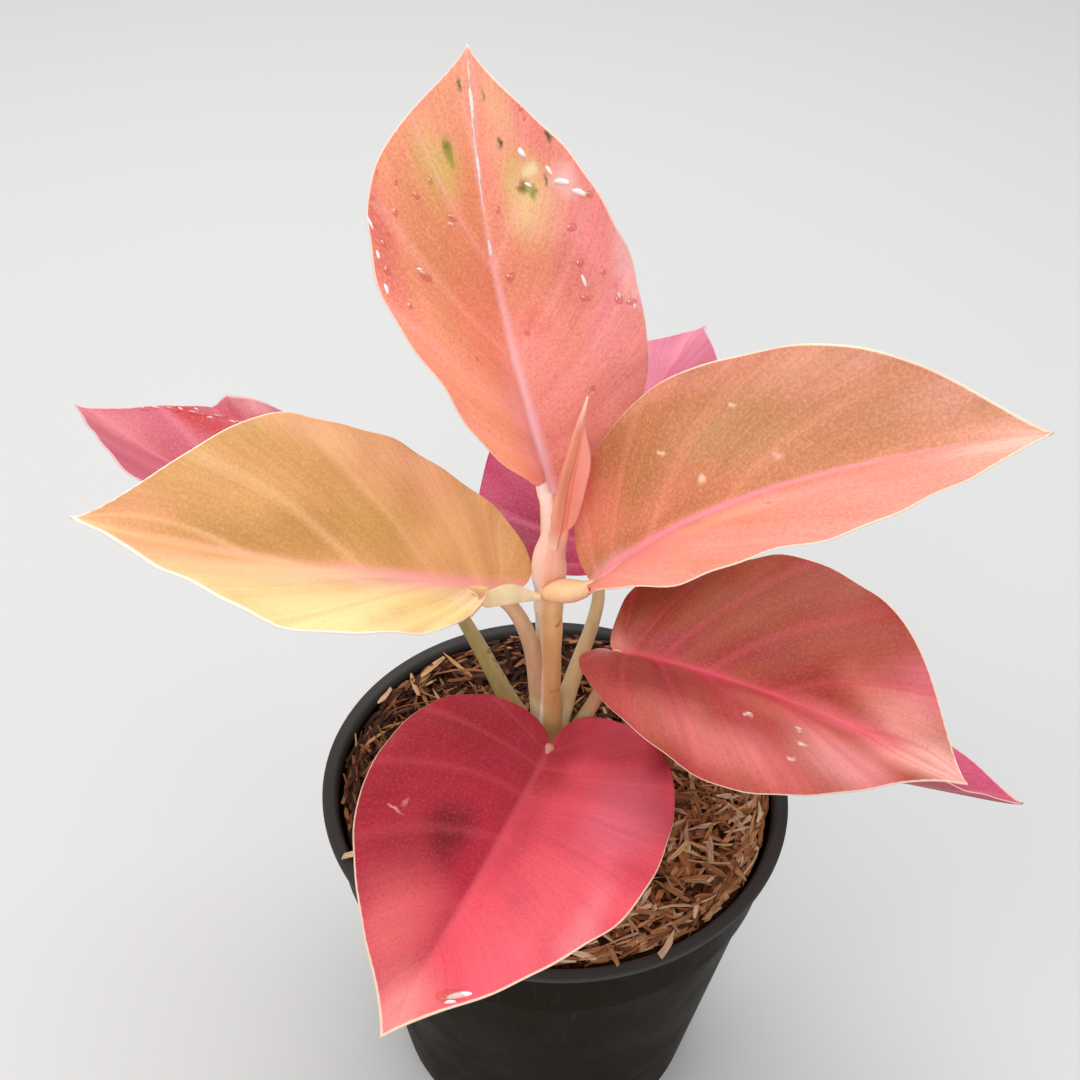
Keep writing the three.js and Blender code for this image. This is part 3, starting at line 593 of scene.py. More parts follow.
def bladeMaterial(name, leaf):
    # Aroid leaf, upper face: a waxy cuticle over coloured cells. It reads as satin, with fine pale and dark
    # grains about 0.7 mm wide, faint side veins and a thin pale margin.
    material, add, skin = newMaterial("aroidLeaf_" + name, {"IOR": 1.42, "Specular IOR Level": 0.32})
    place = add("Attribute", {"attribute_name": "place"}).outputs["Vector"]
    vein = add("Attribute", {"attribute_name": "vein"}).outputs["Fac"]
    spot = add("TexCoord").outputs["Object"]
    exact = add("SeparateXYZ", links={0: place}).outputs
    clouds = add("TexNoise", {"Scale": 55, "Detail": 3}, {"Vector": spot})  # 18 mm
    frays = add("TexNoise", {"Scale": 330, "Detail": 2}, {"Vector": spot})  # 3 mm
    ribCount = 26  # finest ribs beside the veins, about 0.9 mm apart
    ribPlace = add("CombineXYZ", links={"X": vein})
    ribShift = add("VectorMath", {"operation": "MULTIPLY_ADD", 1: (0, 0.02, 0)}, {0: place, 2: ribPlace})
    ribStretch = add("VectorMath", {"operation": "MULTIPLY", 1: (ribCount, 1, 0)}, {0: ribShift})
    ribs = add("TexNoise", {"Scale": 1, "Detail": 2}, {"Vector": ribStretch})
    grain = add("TexNoise", {"Scale": 1300, "Detail": 2}, {"Vector": spot})

    # colour fields of the two halves, with borders that the clouds make wavy. The halves differ partly in the
    # leaf's own
    # colour and partly by painted light: the half that faces the light from behind and above is given a
    # lighter, glowing tone and the other a darker painted shade.
    left, right = leaf["halves"]
    leftHalf = add("MapRange", {**softEdge, "From Min": -2, "From Max": 2}, {"Value": exact["Y"]})
    colour = add("Mix", {**tint, 6: hexColour(right), 7: hexColour(left)}, {0: leftHalf})
    wavy = shaken(add, place, clouds, 0.09, 9)
    layers = [(patch[4], softPatch(add, wavy, patch)) for patch in leaf["patches"]]

    # side veins are paler, and the swellings between them darker with painted shade, the shading of the
    # quilted relief
    fromVein = add("Math", {"operation": "PINGPONG", 1: 0.5}, {0: vein})
    tone, strength = leaf["paintedQuiltShade"]
    band = add("MapRange", {**softEdge, "From Min": 0.1, "From Max": 0.46}, {"Value": fromVein})
    cloudy = add("MapRange", {"From Min": 0.35, "From Max": 0.65, "To Min": 0.15 * strength,
                              "To Max": strength}, {"Value": clouds})
    layers.append((tone, add("Math", {"operation": "MULTIPLY"}, {0: band, 1: cloudy})))
    tone, strength = leaf["veinColour"]
    layers.append((tone, add("MapRange", {**softEdge, "From Min": 0.13, "From Max": 0, "To Max": strength},
                             {"Value": fromVein})))
    for tone, amount in layers:
        colour = add("Mix", {**tint, 7: hexColour(tone)}, {0: amount, 6: colour})
    ribShade = add("MapRange", {**noiseSpan, "To Min": 0.93, "To Max": 1.06}, {"Value": ribs})
    colour = add("Mix", shading, {6: colour, 7: ribShade})

    # grain: pale and dark cells
    layers = []
    pale, dark = leaf["speck"]
    for tone, low, high, strength in ((pale, 0.48, 0.8, 0.3), (dark, 0.5, 0.2, 0.26)):
        strength *= leaf.get("grain", 1)
        layers.append((tone, add("MapRange", {"From Min": low, "From Max": high, "To Max": strength},
                                 {"Value": grain})))

    # marks: small fresh green flecks and scars with frayed borders
    frayed = shaken(add, place, frays, 0.03, 3.5)
    layers += [(mark[4], softPatch(add, frayed, mark)) for mark in leaf.get("marks", [])]

    # midrib: a pale band that narrows to the tip
    tone, width, strength = leaf["midrib"]
    ribReach = add("MapRange", {"To Min": width, "To Max": 0.35}, {"Value": exact["X"]})
    aside = add("Math", {"operation": "ABSOLUTE"}, {0: exact["Y"]})
    ribShare = add("Math", {"operation": "DIVIDE"}, {0: aside, 1: ribReach})
    fadeFrom, fadeTo = leaf.get("fade", (0.35, 1.05))
    ribFade = add("MapRange", {"From Min": fadeFrom, "From Max": fadeTo, "To Min": strength,
                               "To Max": strength * 0.25}, {"Value": exact["X"]})
    ribLine = add("MapRange", {**softEdge, "From Min": 1.5, "From Max": 0.1}, {"Value": ribShare})
    layers.append((tone, add("Math", {"operation": "MULTIPLY"}, {0: ribLine, 1: ribFade})))

    # margin: a pale line under a millimetre wide, with its own width on each side, widest towards the tip
    tone, left, right = leaf["margin"]
    width = add("MapRange", {"To Min": right, "To Max": left}, {"Value": leftHalf})
    taper = add("MapRange", {"From Min": 0.12, "To Min": 0.05, "To Max": 1.4}, {"Value": exact["X"]})
    marginReach = add("Math", {"operation": "MULTIPLY"}, {0: width, 1: taper})
    marginShare = add("Math", {"operation": "DIVIDE"}, {0: exact["Z"], 1: marginReach})
    marginFade = add("MapRange", {"From Min": 0.02, "From Max": 0.24, "To Max": 0.9}, {"Value": exact["X"]})
    layers.append((tone, add("MapRange", {**softEdge, "From Min": 1.3, "From Max": 0.5},
                             {"Value": marginShare, "To Max": marginFade})))
    for tone, amount in layers:
        colour = add("Mix", {**tint, 7: hexColour(tone)}, {0: amount, 6: colour})

    # wax: patchy gloss, and a skin that is pebbled like the grain and combed like the ribs
    gloss = add("MapRange", {**noiseSpan, "To Min": 0.36, "To Max": 0.52}, {"Value": clouds})
    comb = add("Bump", {"Strength": 0.35, "Distance": 0.0001}, {"Height": ribs})
    bump = add("Bump", {"Strength": 0.3, "Distance": 0.00012}, {"Height": grain, "Normal": comb})
    joinTo(skin, {"Base Color": colour, "Roughness": gloss, "Normal": bump})
    return material


def undersideMaterial(name, leaf):
    # Aroid leaf, lower face: duller than the upper one, with paler veins that stand out
    material, add, skin = newMaterial("aroidLeafUnderside_" + name, {"IOR": 1.42, "Specular IOR Level": 0.2})
    place = add("Attribute", {"attribute_name": "place"}).outputs["Vector"]
    vein = add("Attribute", {"attribute_name": "vein"}).outputs["Fac"]
    spot = add("TexCoord").outputs["Object"]
    clouds = add("TexNoise", {"Scale": 60, "Detail": 4}, {"Vector": spot})
    grain = add("TexNoise", {"Scale": 1100, "Detail": 1}, {"Vector": spot})
    left, right = (hexColour(tone) for tone in leaf["halves"])
    dull = 0.3
    colour = add("Mix", {**tint, 6: left, 7: right}, {0: clouds})
    colour = add("Mix", {**tint, 0: dull, 7: hexColour("#b5705e")}, {6: colour})
    fromVein = add("Math", {"operation": "PINGPONG", 1: 0.5}, {0: vein})
    veinLine = add("MapRange", {**softEdge, "From Min": 0.09, "From Max": 0, "To Max": 0.32},
                   {"Value": fromVein})
    colour = add("Mix", {**tint, 7: hexColour("#efb49c")}, {0: veinLine, 6: colour})
    shade = add("MapRange", {**noiseSpan, "To Min": 0.84, "To Max": 1.1}, {"Value": grain})
    colour = add("Mix", shading, {6: colour, 7: shade})
    foot = hexColour(leaf["foot"]) if "foot" in leaf else left
    footPatch = softPatch(add, place, (0, 0, 0.26, 16, "", 1))
    colour = add("Mix", {**tint, 7: foot}, {0: footPatch, 6: colour})
    gloss = add("MapRange", {"To Min": 0.5, "To Max": 0.65}, {"Value": clouds})
    bump = add("Bump", {"Strength": 0.3, "Distance": 0.00012}, {"Height": grain})
    joinTo(skin, {"Base Color": colour, "Roughness": gloss, "Normal": bump})
    return material


for seed, (name, leaf) in enumerate(leaves.items(), 3):
    bladePiece(name, [bladeMaterial(name, leaf), undersideMaterial(name, leaf)], seed)
print("blades ready")

# stalks, cane, sheath and rolled leaf


def smoothPath(path, perSpan):
    # smooth curve through [x, y, z, radius] points
    knots = np.array(path, float)
    padded = np.vstack([2 * knots[0] - knots[1], knots, 2 * knots[-1] - knots[-2]])
    rows = []
    for i in range(len(knots) - 1):
        p0, p1, p2, p3 = padded[i:i + 4]
        for t in np.arange(perSpan) / perSpan:
            rows.append(0.5 * (2 * p1 + (p2 - p0) * t + (2 * p0 - 5 * p1 + 4 * p2 - p3) * t ** 2
                               + (3 * p1 - p0 - 3 * p2 + p3) * t ** 3))
    return np.vstack(rows + [knots[-1]])


def tube(path, sides=28, perSpan=10, section=None):
    # Closed tube with rounded ends; section(angles, share) scales its radius. It returns vertices, faces and,
    # for each vertex, how far along and how far to the right it lies.
    line = smoothPath(path, perSpan)
    centres, radii = line[:, :3], np.maximum(line[:, 3], 0.02)
    tangents = np.gradient(centres, axis=0)
    tangents /= np.linalg.norm(tangents, axis=1, keepdims=True)
    shares = np.linspace(0, 1, len(line))
    endRound, caps = 0.7, np.radians([82, 60, 35, 14])
    stations = [(0, -c) for c in caps] + [(i, 0) for i in range(len(line))] + [(-1, c) for c in caps[::-1]]
    side = np.array([1.0, 0, 0])
    angles = np.linspace(0, 2 * math.pi, sides, endpoint=False)
    vertices, alongs, sideways = [], [], []
    for i, cap in stations:
        centre = centres[i] + tangents[i] * radii[i] * endRound * math.sin(cap)
        radius = radii[i] * math.cos(cap)
        side = side - tangents[i] * side.dot(tangents[i])
        side /= np.linalg.norm(side)
        other = np.cross(tangents[i], side)
        scale = radius * (section(angles, shares[i]) if section else np.ones(sides))
        ring = centre + scale[:, None] * (np.cos(angles)[:, None] * side + np.sin(angles)[:, None] * other)
        vertices.append(ring)
        alongs += [shares[i]] * sides
        sideways += list((ring[:, 0] - centre[0]) / radius)
    return np.vstack(vertices), ringFaces(len(stations), sides), {"along": alongs, "sideways": sideways}


def fillRamp(ramp, stops):
    # stops are (position, colour), the first two at the ends
    for k, (position, code) in enumerate(stops):
        stop = ramp.color_ramp.elements[k] if k < 2 else ramp.color_ramp.elements.new(position)
        stop.position = position
        stop.color = hexColour(code)


def stalkMaterial(name, look):
    # Aroid petiole: smooth watery stalk, satin, its colour drawn out lengthwise with small brown scars
    material, add, skin = newMaterial("aroidStalk_" + name, {"IOR": 1.4, "Specular IOR Level": 0.4})
    along = add("Attribute", {"attribute_name": "along"}).outputs["Fac"]
    sideways = add("Attribute", {"attribute_name": "sideways"}).outputs["Fac"]
    spot = add("TexCoord").outputs["Object"]
    colour = add("ValToRGB", links={"Fac": along})
    fillRamp(colour, look["colours"])
    # flanks tint a band across a piece, from its left to its right; on the cane, the sheath and the rolled
    # leaf the pale left flanks are painted light on the side where the light falls
    for tone, start, end, strength in look.get("flanks", []):
        flank = add("MapRange", {**softEdge, "From Min": start, "From Max": end, "To Max": strength},
                    {"Value": sideways})
        colour = add("Mix", {**tint, 7: hexColour(tone)}, {0: flank, 6: colour})
    drawn = add("Mapping", {"Scale": (420, 420, 60)}, {"Vector": spot})  # streaks of 2.4 by 17 mm
    streaks = add("TexNoise", {"Scale": 1, "Detail": 3}, {"Vector": drawn})
    shade = add("MapRange", {**noiseSpan, "To Min": 0.9, "To Max": 1.06}, {"Value": streaks})
    colour = add("Mix", shading, {6: colour, 7: shade})
    scars = add("TexNoise", {"Scale": 260, "Detail": 3}, {"Vector": spot})  # 4 mm
    limit = look["scars"]  # the lower, the more there are
    scar = add("MapRange", {"From Min": limit, "From Max": limit + 0.05, "To Max": 0.7}, {"Value": scars})
    colour = add("Mix", {**tint, 7: hexColour("#7d5c30")}, {0: scar, 6: colour})
    gloss = add("MapRange", {**noiseSpan, "To Min": 0.32, "To Max": 0.48}, {"Value": streaks})
    bump = add("Bump", {"Strength": 0.3, "Distance": 0.0002}, {"Height": streaks})
    joinTo(skin, {"Base Color": colour, "Roughness": gloss, "Normal": bump})
    return material


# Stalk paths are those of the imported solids, but the right one starts in a finer taper. At its end each runs
# on inside the midrib, so that it joins both faces of the blade, and its reach is how far along that goes.
# Colours are shares along with their tone; flanks are tone, from and to across, and strength.
stalks = {
    "top": {
        "path": [(-4.7, 3.3, 214, 2.6), (-4.9, 3.9, 222, 2.6), (-5.2, 4.4, 229.5, 2.5),
                 (-5.9, 5.6, 235, 2.3)],
        "colours": [(0, "#ffd3c2"), (1, "#ffdcdc"), (0.4, "#ffe6dc"), (0.8, "#ffecea")],
        "reach": 16, "scars": 0.9, "flanks": [("#f9bca4", 0.3, 1.0, 0.5)],
    },
    "left": {
        "path": [(-5.4, 8, 132, 2.8), (-6.6, 5, 154, 2.6), (-7.5, 3, 167, 2.5), (-8.5, 0, 180.5, 2.5),
                 (-10.8, -4, 194.3, 2.4), (-14.4, -7.8, 206, 2.2)],
        "colours": [(0, "#dcc496"), (1, "#e2c298"), (0.5, "#dcc298")],
        "reach": 7, "scars": 0.76, "flanks": [("#bf9468", 0.3, 1.0, 0.4)],
    },
    "right": {
        "path": [(-7, -2.6, 206.4, 0.6), (-5.6, -3.2, 207.7, 1.7), (-3.6, -4, 209.3, 2.8),
                 (-0.8, -5, 211, 3.5), (2.4, -6, 212.3, 3.3), (5, -7, 213.8, 2.6), (7, -7.7, 215.6, 1.9)],
        "colours": [(0, "#f9c796"), (1, "#ffae9c"), (0.25, "#fdd3a0"), (0.7, "#fdd2a4")],
        "reach": 3, "scars": 0.9, "drop": 0.2,  # how deep its end sinks below the blade, 1 where not given
    },
    "lower_right": {
        "path": [(1, 9.5, 125, 3), (5.5, 10.5, 137, 2.6), (11.2, 6.8, 155.6, 2.2), (13.8, 0.4, 172, 2)],
        "colours": [(0, "#c8b686"), (1, "#e2c4a0")], "reach": 6, "scars": 0.75,
    },
    "front": {
        "path": [(-2.6, 4, 122, 3.2), (-3, -3, 134, 2.8), (-2.9, -7.5, 143, 2.4)],
        "colours": [(0, "#c7a878"), (1, "#dba08c")], "reach": 6, "scars": 0.75,
    },
    "back_left": {
        "path": [(-5, 9.5, 128, 3.6), (-15.2, 14.6, 143, 3.3), (-19.7, 17.5, 150.5, 2.9),
                 (-28.3, 23.5, 164.5, 2.4), (-35.2, 28, 174.5, 2)],
        "colours": [(0, "#b49c66"), (1, "#b8a67e"), (0.35, "#a08e56"), (0.7, "#a09664")],
        "reach": 8, "scars": 0.6, "flanks": [("#cdb98c", 0.1, 0.9, 0.6)],
    },
    "back_right": {
        "path": [(-1.4, 9.5, 128, 3.1), (1.6, 11.5, 147.7, 3), (3.7, 13.5, 157, 2.7),
                 (6.1, 15.5, 166.4, 2.4), (8.6, 17.5, 175.4, 2.2), (10.4, 18.8, 186.5, 2)],
        "colours": [(0, "#dcc294"), (1, "#bcb490"), (0.5, "#e0ca9a")], "reach": 8, "scars": 0.74,
    },
    "side_right": {
        "path": [(0, 11, 123, 2.9), (10, 12.5, 128.5, 2.5), (20, 12.8, 135, 2)],
        "colours": [(0, "#b9a880"), (1, "#cf9a86")], "reach": 6, "scars": 0.75,
    },
}


def stalkEnd(name, stalk):
    # last points of a stalk, under the base of the blade and then tapering away in its midrib
    radius = stalk["path"][-1][3]
    points = []
    for share, drop, size in ((-0.15, 0.7, 0.95), (0.25, 0.5, 0.78), (0.6, 0.45, 0.5), (1, 0.55, 0.12)):
        point, _, up = midribFrame(leaves[name], np.array(stalk["reach"] * share))
        points.append((*(point - up * stalk.get("drop", 1) * drop * radius * size), radius * size))
    return points


for name, stalk in stalks.items():
    vertices, faces, values = tube(stalk["path"] + stalkEnd(name, stalk))
    meshPiece("petiole_" + name, vertices, faces, [stalkMaterial(name, stalk)], "petiole", "petiole_" + name,
              values=values)

# thin wing of the left stalk, a yellow fold that runs from the foot of its blade to the cane
wing = {
    "upper": [(-27.2, -20.4, 224.2), (-25, -18.8, 222.2), (-22.6, -16.8, 220.4), (-20, -14.6, 219.2),
              (-17.6, -12.6, 218.8), (-15.4, -10.8, 218), (-13.4, -9.2, 216.4), (-11.2, -7.2, 213.6),
              (-9, -5.4, 210.8), (-6.6, -4.2, 208.6)],
    "lower": [(-23.3, -29, 228.4), (-22.6, -25.6, 223.8), (-21.6, -20.6, 217.8), (-20.2, -16.4, 213.9),
              (-18.2, -13.8, 212.2), (-15.9, -12, 211.1), (-13.5, -10.2, 210.2), (-11, -8.2, 209.1),
              (-8.9, -6.2, 207.9), (-6.5, -4.8, 206.8)],
    "outward": (0, -0.77, 0.64),  # the way its flat side faces
    "bulge": 1, "thickness": 0.7, "columns": 10,
    "colours": [(0, "#fff4b8"), (1, "#fff2c4"), (0.5, "#fff8c4")], "scars": 0.8,
}


def wingPiece():
    upper, lower = smoothPath(wing["upper"], 6), smoothPath(wing["lower"], 6)
    rows, columns, outward = len(upper) - 1, wing["columns"], np.array(wing["outward"])
    front, back, shares = [], [], []
    for i in range(rows + 1):
        for j in range(columns + 1):
            c = j / columns
            point = upper[i] * (1 - c) + lower[i] * c + outward * wing["bulge"] * math.sin(math.pi * c)
            front.append(point + outward * wing["thickness"] / 2)
            back.append(point - outward * wing["thickness"] / 2)
            shares.append(i / rows)
    meshPiece("blade_left_wing", front + back, sheetFaces(rows, columns), [stalkMaterial("wing", wing)],
              "leaf_ochre", "blade_left", values={"along": shares * 2, "sideways": [0] * len(shares) * 2})


wingPiece()
print("stalks ready")

stem = {
    "path": [(-2, 9.5, 92, 5), (-2.2, 9, 112, 6.4), (-2.4, 8.5, 122, 6.2), (-2.7, 7.5, 131, 5.1),
             (-3, 6, 145, 4.1), (-3.4, 4.5, 165, 3.6), (-4, 3, 187, 3.9), (-4.5, 2, 200, 4.3),
             (-4.7, 2.2, 207, 3.8)],
    "lap": (0.09, 4.1, 0.3),  # lapped edge of the old leaf bases: height, angle and half width
    "rings": (0.025, 60),  # where old leaves stood: height and how close
    "colours": [(0, "#8c683e"), (1, "#f2cc98"), (0.35, "#b08854"), (0.5, "#cca066"), (0.66, "#e8c286"),
                (0.85, "#e8c284")],
    "scars": 0.66,
    # painted light: a near-white strip down the left side of the cane, where the light falls
    "flanks": [("#f8e6d0", -0.3, -0.65, 0.95), ("#d9a870", 0.4, 0.95, 0.4)],
}
sheath = {
    "path": [(-4.6, 2.4, 203.6, 3.6), (-4.7, 2.6, 208, 4.8), (-4.8, 3, 212.5, 5.1), (-4.8, 3.2, 217, 4.7),
             (-4.1, 3.2, 221.5, 4.1), (-3.2, 3, 226, 3.6), (-2.4, 2.6, 230.5, 2.8)],
    "depth": 0.8,  # squeezed front to back
    "colours": [(0, "#fbbd98"), (1, "#ffc0ac"), (0.5, "#ffc8b0")],
    "scars": 0.95,
    # painted light: both flanks lighten the sheath, most on its left, where the light falls
    "flanks": [("#ffe4d8", -0.1, -0.75, 0.95), ("#ffd2b8", 0.1, 0.8, 0.95)],
}
spear = {
    "path": [(-3.4, 3, 222.5, 3), (-3, 2.8, 226.2, 2.9), (-2.2, 2.4, 231, 2.6), (-0.8, 1, 246, 2.2),
             (0.7, 0.3, 255, 1.85), (1.9, -0.5, 264, 1.3), (3.6, -1, 274.8, 0.3)],
    "lap": 0.2,  # step of the outer turn, as a share of the radius
    "seam": 5.1,  # angle of that step, facing the front
    "colours": [(0, "#ffdcc8"), (1, "#ffecd6"), (0.3, "#f2a488"), (0.5, "#d89276"), (0.84, "#d8967c")],
    "scars": 0.95,
    # painted light: the pale left flank of the rolled leaf
    "flanks": [("#fbc2ac", -0.3, -0.9, 0.6), ("#c4705a", 0.12, 0.24, 0.35), ("#fdaca0", 0.26, 0.42, 0.95)],
}


def stemSection(angles, share):
    # clasping leaf bases: a lapped edge down the front, and slight rings where old leaves stood
    height, middle, width = stem["lap"]
    swell, turns = stem["rings"]
    lap = height * np.clip(1 - np.abs((angles - middle) / width), 0, 1)
    return 1 + lap + swell * math.sin(share * turns)


def rolledSection(angles, share):
    turn = ((angles - spear["seam"]) / (2 * math.pi)) % 1
    return 1 - spear["lap"] / 2 + spear["lap"] * turn


def flattened(vertices, path, depth):
    # squeezes a tube front to back about its own path
    line = smoothPath(path, 10)
    middle = np.interp(vertices[:, 2], line[:, 2], line[:, 1])
    vertices[:, 1] = middle + (vertices[:, 1] - middle) * depth


for name, piece, sides, perSpan, section in (
        ("stem", stem, 48, 14, stemSection), ("sheath", sheath, 44, 12, None),
        ("spear", spear, 64, 12, rolledSection)):
    vertices, faces, values = tube(piece["path"], sides, perSpan, section)
    if "depth" in piece:
        flattened(vertices, piece["path"], piece["depth"])
    meshPiece(name, vertices, faces, [stalkMaterial(name, piece)], name, name, values=values)

# the loose edge of the rolled leaf stands out on its right as a thin pink fin
fin = {
    "span": (0.08, 0.88),  # shares of the rolled leaf
    "width": 3.7, "thickness": 0.5, "taper": 0.6, "rows": 40, "columns": 8,
    "start": (0.6, 0.25),  # to the right and to the front, in radii of the rolled leaf
    "flare": 0.35,
    "bow": 1.1,  # its edge lies this far back
    "colours": [(0, "#ffd8c2"), (1, "#ffbcb0"), (0.4, "#ffb09c")], "scars": 0.95,
    "flanks": [("#ffc4ba", 0.4, 1, 0.9)],
}


def finPiece():
    line = smoothPath(spear["path"], 12)
    knots = np.linspace(0, 1, len(line))
    (low, high), (right, forward), rows, columns = fin["span"], fin["start"], fin["rows"], fin["columns"]
    front, back, shares, sideways = [], [], [], []
    for i in range(rows + 1):
        t = i / rows
        x0, y0, z, radius = [np.interp(low + (high - low) * t, knots, line[:, k]) for k in range(4)]
        reach = fin["width"] * math.sin(math.pi * t ** 1.2) ** 1.3
        flare = radius * fin["flare"] * math.sin(math.pi * t) ** 0.5
        for j in range(columns + 1):
            c = j / columns
            x = x0 + radius * right + c * (reach + flare)
            y = y0 - radius * forward + fin["bow"] * c * c
            half = fin["thickness"] / 2 * (1 - fin["taper"] * c)
            front.append((x, y - half, z))
            back.append((x, y + half, z))
            shares.append(t)
            sideways.append(c)
    meshPiece("spear_edge", front + back, sheetFaces(rows, columns), [stalkMaterial("spearEdge", fin)],
              "spear", "spear", values={"along": shares * 2, "sideways": sideways * 2})


finPiece()
print("stem, sheath and rolled leaf ready")

# growing medium

potForm = {
    "height": 125, "rimRadius": 75, "lipWidth": 4, "lipThickness": 2, "bandHeight": 24, "bandRadius": 71,
    "shoulderRadius": 68.5, "footRadius": 52.5, "footEdge": 1.5, "wall": 1.5, "soften": 0.9, "sides": 192,
    "drainCount": 8, "drainRing": 34, "drainRadius": 4,
}
medium = {
    "top": 121.5, "dip": 5, "dipReach": (16, 36), "swell": 1.2, "floor": 1.8, "edge": 68.2, "clearance": 0.6,
    "sides": 150, "rings": 60, "crumb": 0.9,
    "dust": 0.8,  # how far the dust lies below the shreds
    "stem": (-2.2, 9), "seed": 11,
}
shreds = {
    # layers from the bottom up: how many, how high above the surface, how dark (0) or light (1), how tilted
    "layers": [(1100, (-0.8, 0.3), (0.18, 0.12), 0.22), (1200, (0.0, 1.3), (0.38, 0.2), 0.34),
               (800, (0.8, 2.4), (0.58, 0.22), 0.4)],
    "length": (4, 15),
    "halfWidth": (0.4, 1.25),
    "thickness": (0.25, 0.7),
    "clearOfStem": 8,
    # shreds that lie against the wall: how many, how far out, how high, length, half width and tone
    "wall": (520, (63.5, 68), (0.6, 3.2), (4, 10), (0.4, 1), (0.42, 0.2)),
    # painted light and shade: the shreds get a darker tone at the back left and a lighter one at the front
    # right, after the way the light falls over the filling
    "light": (-0.24, 0.24),  # they are darker at the back left and lighter at the front right
}
# shreds on the rim and a dark stick beside the cane: x, y, z, length, half width, tone, tilt and heading
placedShreds = [
    (34.6, -61.5, 126.6, 11, 1.5, 0.95, 0.14, 1.15), (-60.5, -35.0, 126.2, 7, 1.2, 0.98, 0.1, 0.4),
    (-59.6, 33, 125.6, 9, 1.2, 0.9, 0.12, 1.2), (-45, 47, 126, 13, 1.3, 0.85, -0.1, 0.9),
    (-36, 50, 125.2, 14, 1.0, 0.75, 0.1, -0.7), (19, -65.5, 125.6, 9, 1.1, 0.75, 0.2, 1.9),
    (-26.1, 44.5, 124.4, 9, 0.9, 0.0, 0.05, 0.08), (10, 64, 125, 9, 1, 0.5, 0.1, 0.3),
    (61, 12, 124.6, 10, 1.1, 0.65, 0.2, 1.7), (56, -32, 124.6, 9, 1.8, 0.78, 0.12, 2.3),
    (-33, 46, 124.8, 22, 0.7, 0.5, 0.02, 0.1), (-50, 40, 124.6, 12, 1.2, 0.8, 0.1, 1.9),
]
fibres = {
    "count": 26, "radius": 0.17, "length": (14, 34), "angle": (1.7, 3.3), "ring": (35, 66), "lift": 1.5,
    "arch": 5, "tones": (0.02, 0.1, 0.5), "seed": 5,
}


def around(radius, angle):
    return radius * math.cos(angle), radius * math.sin(angle)


def mediumPoint(x, y, rise):
    # point at a height above the surface, which is uneven and dips towards the cane
    slow = np.sin(x * 0.09 + 1) * np.cos(y * 0.11)
    quick = np.sin(x * 0.27 + y * 0.23)
    near, far = medium["dipReach"]
    share = np.clip((math.dist((x, y), medium["stem"]) - near) / (far - near), 0, 1)
    dip = medium["dip"] * (1 - share * share * (3 - 2 * share))
    return np.array([x, y, float(medium["top"] - dip + medium["swell"] * (0.7 * slow + 0.4 * quick)) + rise])


def chipMaterial():
    # Shredded pine bark and coir, torn along the grain: orange brown to near black, dull, with grain lines
    # 0.4 mm wide
    material, add, bark = newMaterial("shreddedBark", {"IOR": 1.45, "Specular IOR Level": 0.35})
    tone = add("Attribute", {"attribute_name": "tone"}).outputs["Fac"]
    grainPlace = add("Attribute", {"attribute_name": "grain"}).outputs["Vector"]
    ramp = add("ValToRGB", links={"Fac": tone})
    fillRamp(ramp, [(0, "#3a2014"), (1, "#ecd0ac"), (0.2, "#5e3620"), (0.42, "#8f5c3a"), (0.66, "#bd8350"),
                    (0.86, "#dbb080")])
    stretched = add("VectorMath", {"operation": "MULTIPLY", 1: (0.25, 2.4, 1)}, {0: grainPlace})
    lines = add("TexNoise", {"Scale": 1, "Detail": 4}, {"Vector": stretched})
    shade = add("MapRange", {**noiseSpan, "To Min": 0.6, "To Max": 1.2}, {"Value": lines})
    colour = add("Mix", shading, {6: ramp, 7: shade})
    rough = add("MapRange", {"To Min": 0.6, "To Max": 0.9}, {"Value": lines})
    bump = add("Bump", {"Strength": 0.6, "Distance": 0.0003}, {"Height": lines})
    joinTo(bark, {"Base Color": colour, "Roughness": rough, "Normal": bump})
    return material


def soilMaterial():
    # Fine coir dust between the shreds: dark, moist and crumbly, grit of about 1 mm
    material, add, soil = newMaterial("coirDust", {"IOR": 1.4, "Specular IOR Level": 0.3})
    spot = add("TexCoord").outputs["Object"]
    crumbs = add("TexNoise", {"Scale": 600, "Detail": 5}, {"Vector": spot})
    ramp = add("ValToRGB", links={"Fac": crumbs})
    fillRamp(ramp, [(0.35, "#2a150a"), (0.7, "#643c24")])
    rough = add("MapRange", {"To Min": 0.8, "To Max": 0.95}, {"Value": crumbs})
    bump = add("Bump", {"Strength": 0.9, "Distance": 0.0012}, {"Height": crumbs})
    joinTo(soil, {"Base Color": ramp, "Roughness": rough, "Normal": bump})
    return material


def soilBody():
    draw = random.Random(medium["seed"])
    sides, rings, gap = medium["sides"], medium["rings"], medium["clearance"]
    step = potForm["height"] - potForm["bandHeight"]
    walls = [(potForm["footRadius"] - potForm["wall"] - gap, medium["floor"]),
             (potForm["shoulderRadius"] - potForm["wall"] - gap, step - 1), (medium["edge"] - gap, step + 3)]
    turns = [2 * math.pi * k / sides for k in range(sides)]
    vertices = [(*around(radius, a), height) for radius, height in walls for a in turns]
    for ring in range(rings, 0, -1):
        radius = medium["edge"] * ring / rings
        for a in turns:
            vertices.append(mediumPoint(*around(radius, a), -medium["dust"]))
            vertices[-1][2] += medium["crumb"] * draw.uniform(-1, 1)
    faces = ringFaces(len(walls) + rings, sides, closed=False)
    bottom, last = len(vertices), len(vertices) - sides
    vertices += [(0, 0, medium["floor"]), mediumPoint(0, 0, 0)]
    for k in range(sides):
        m = (k + 1) % sides
        faces += [(bottom, m, k), (last + k, last + m, bottom + 1)]
    return vertices, faces


def spun(angle, i, j):
    # matrix of a turn from axis i towards axis j
    turn = np.eye(3)
    turn[i, i] = turn[j, j] = math.cos(angle)
    turn[j, i], turn[i, j] = math.sin(angle), -math.sin(angle)
    return turn


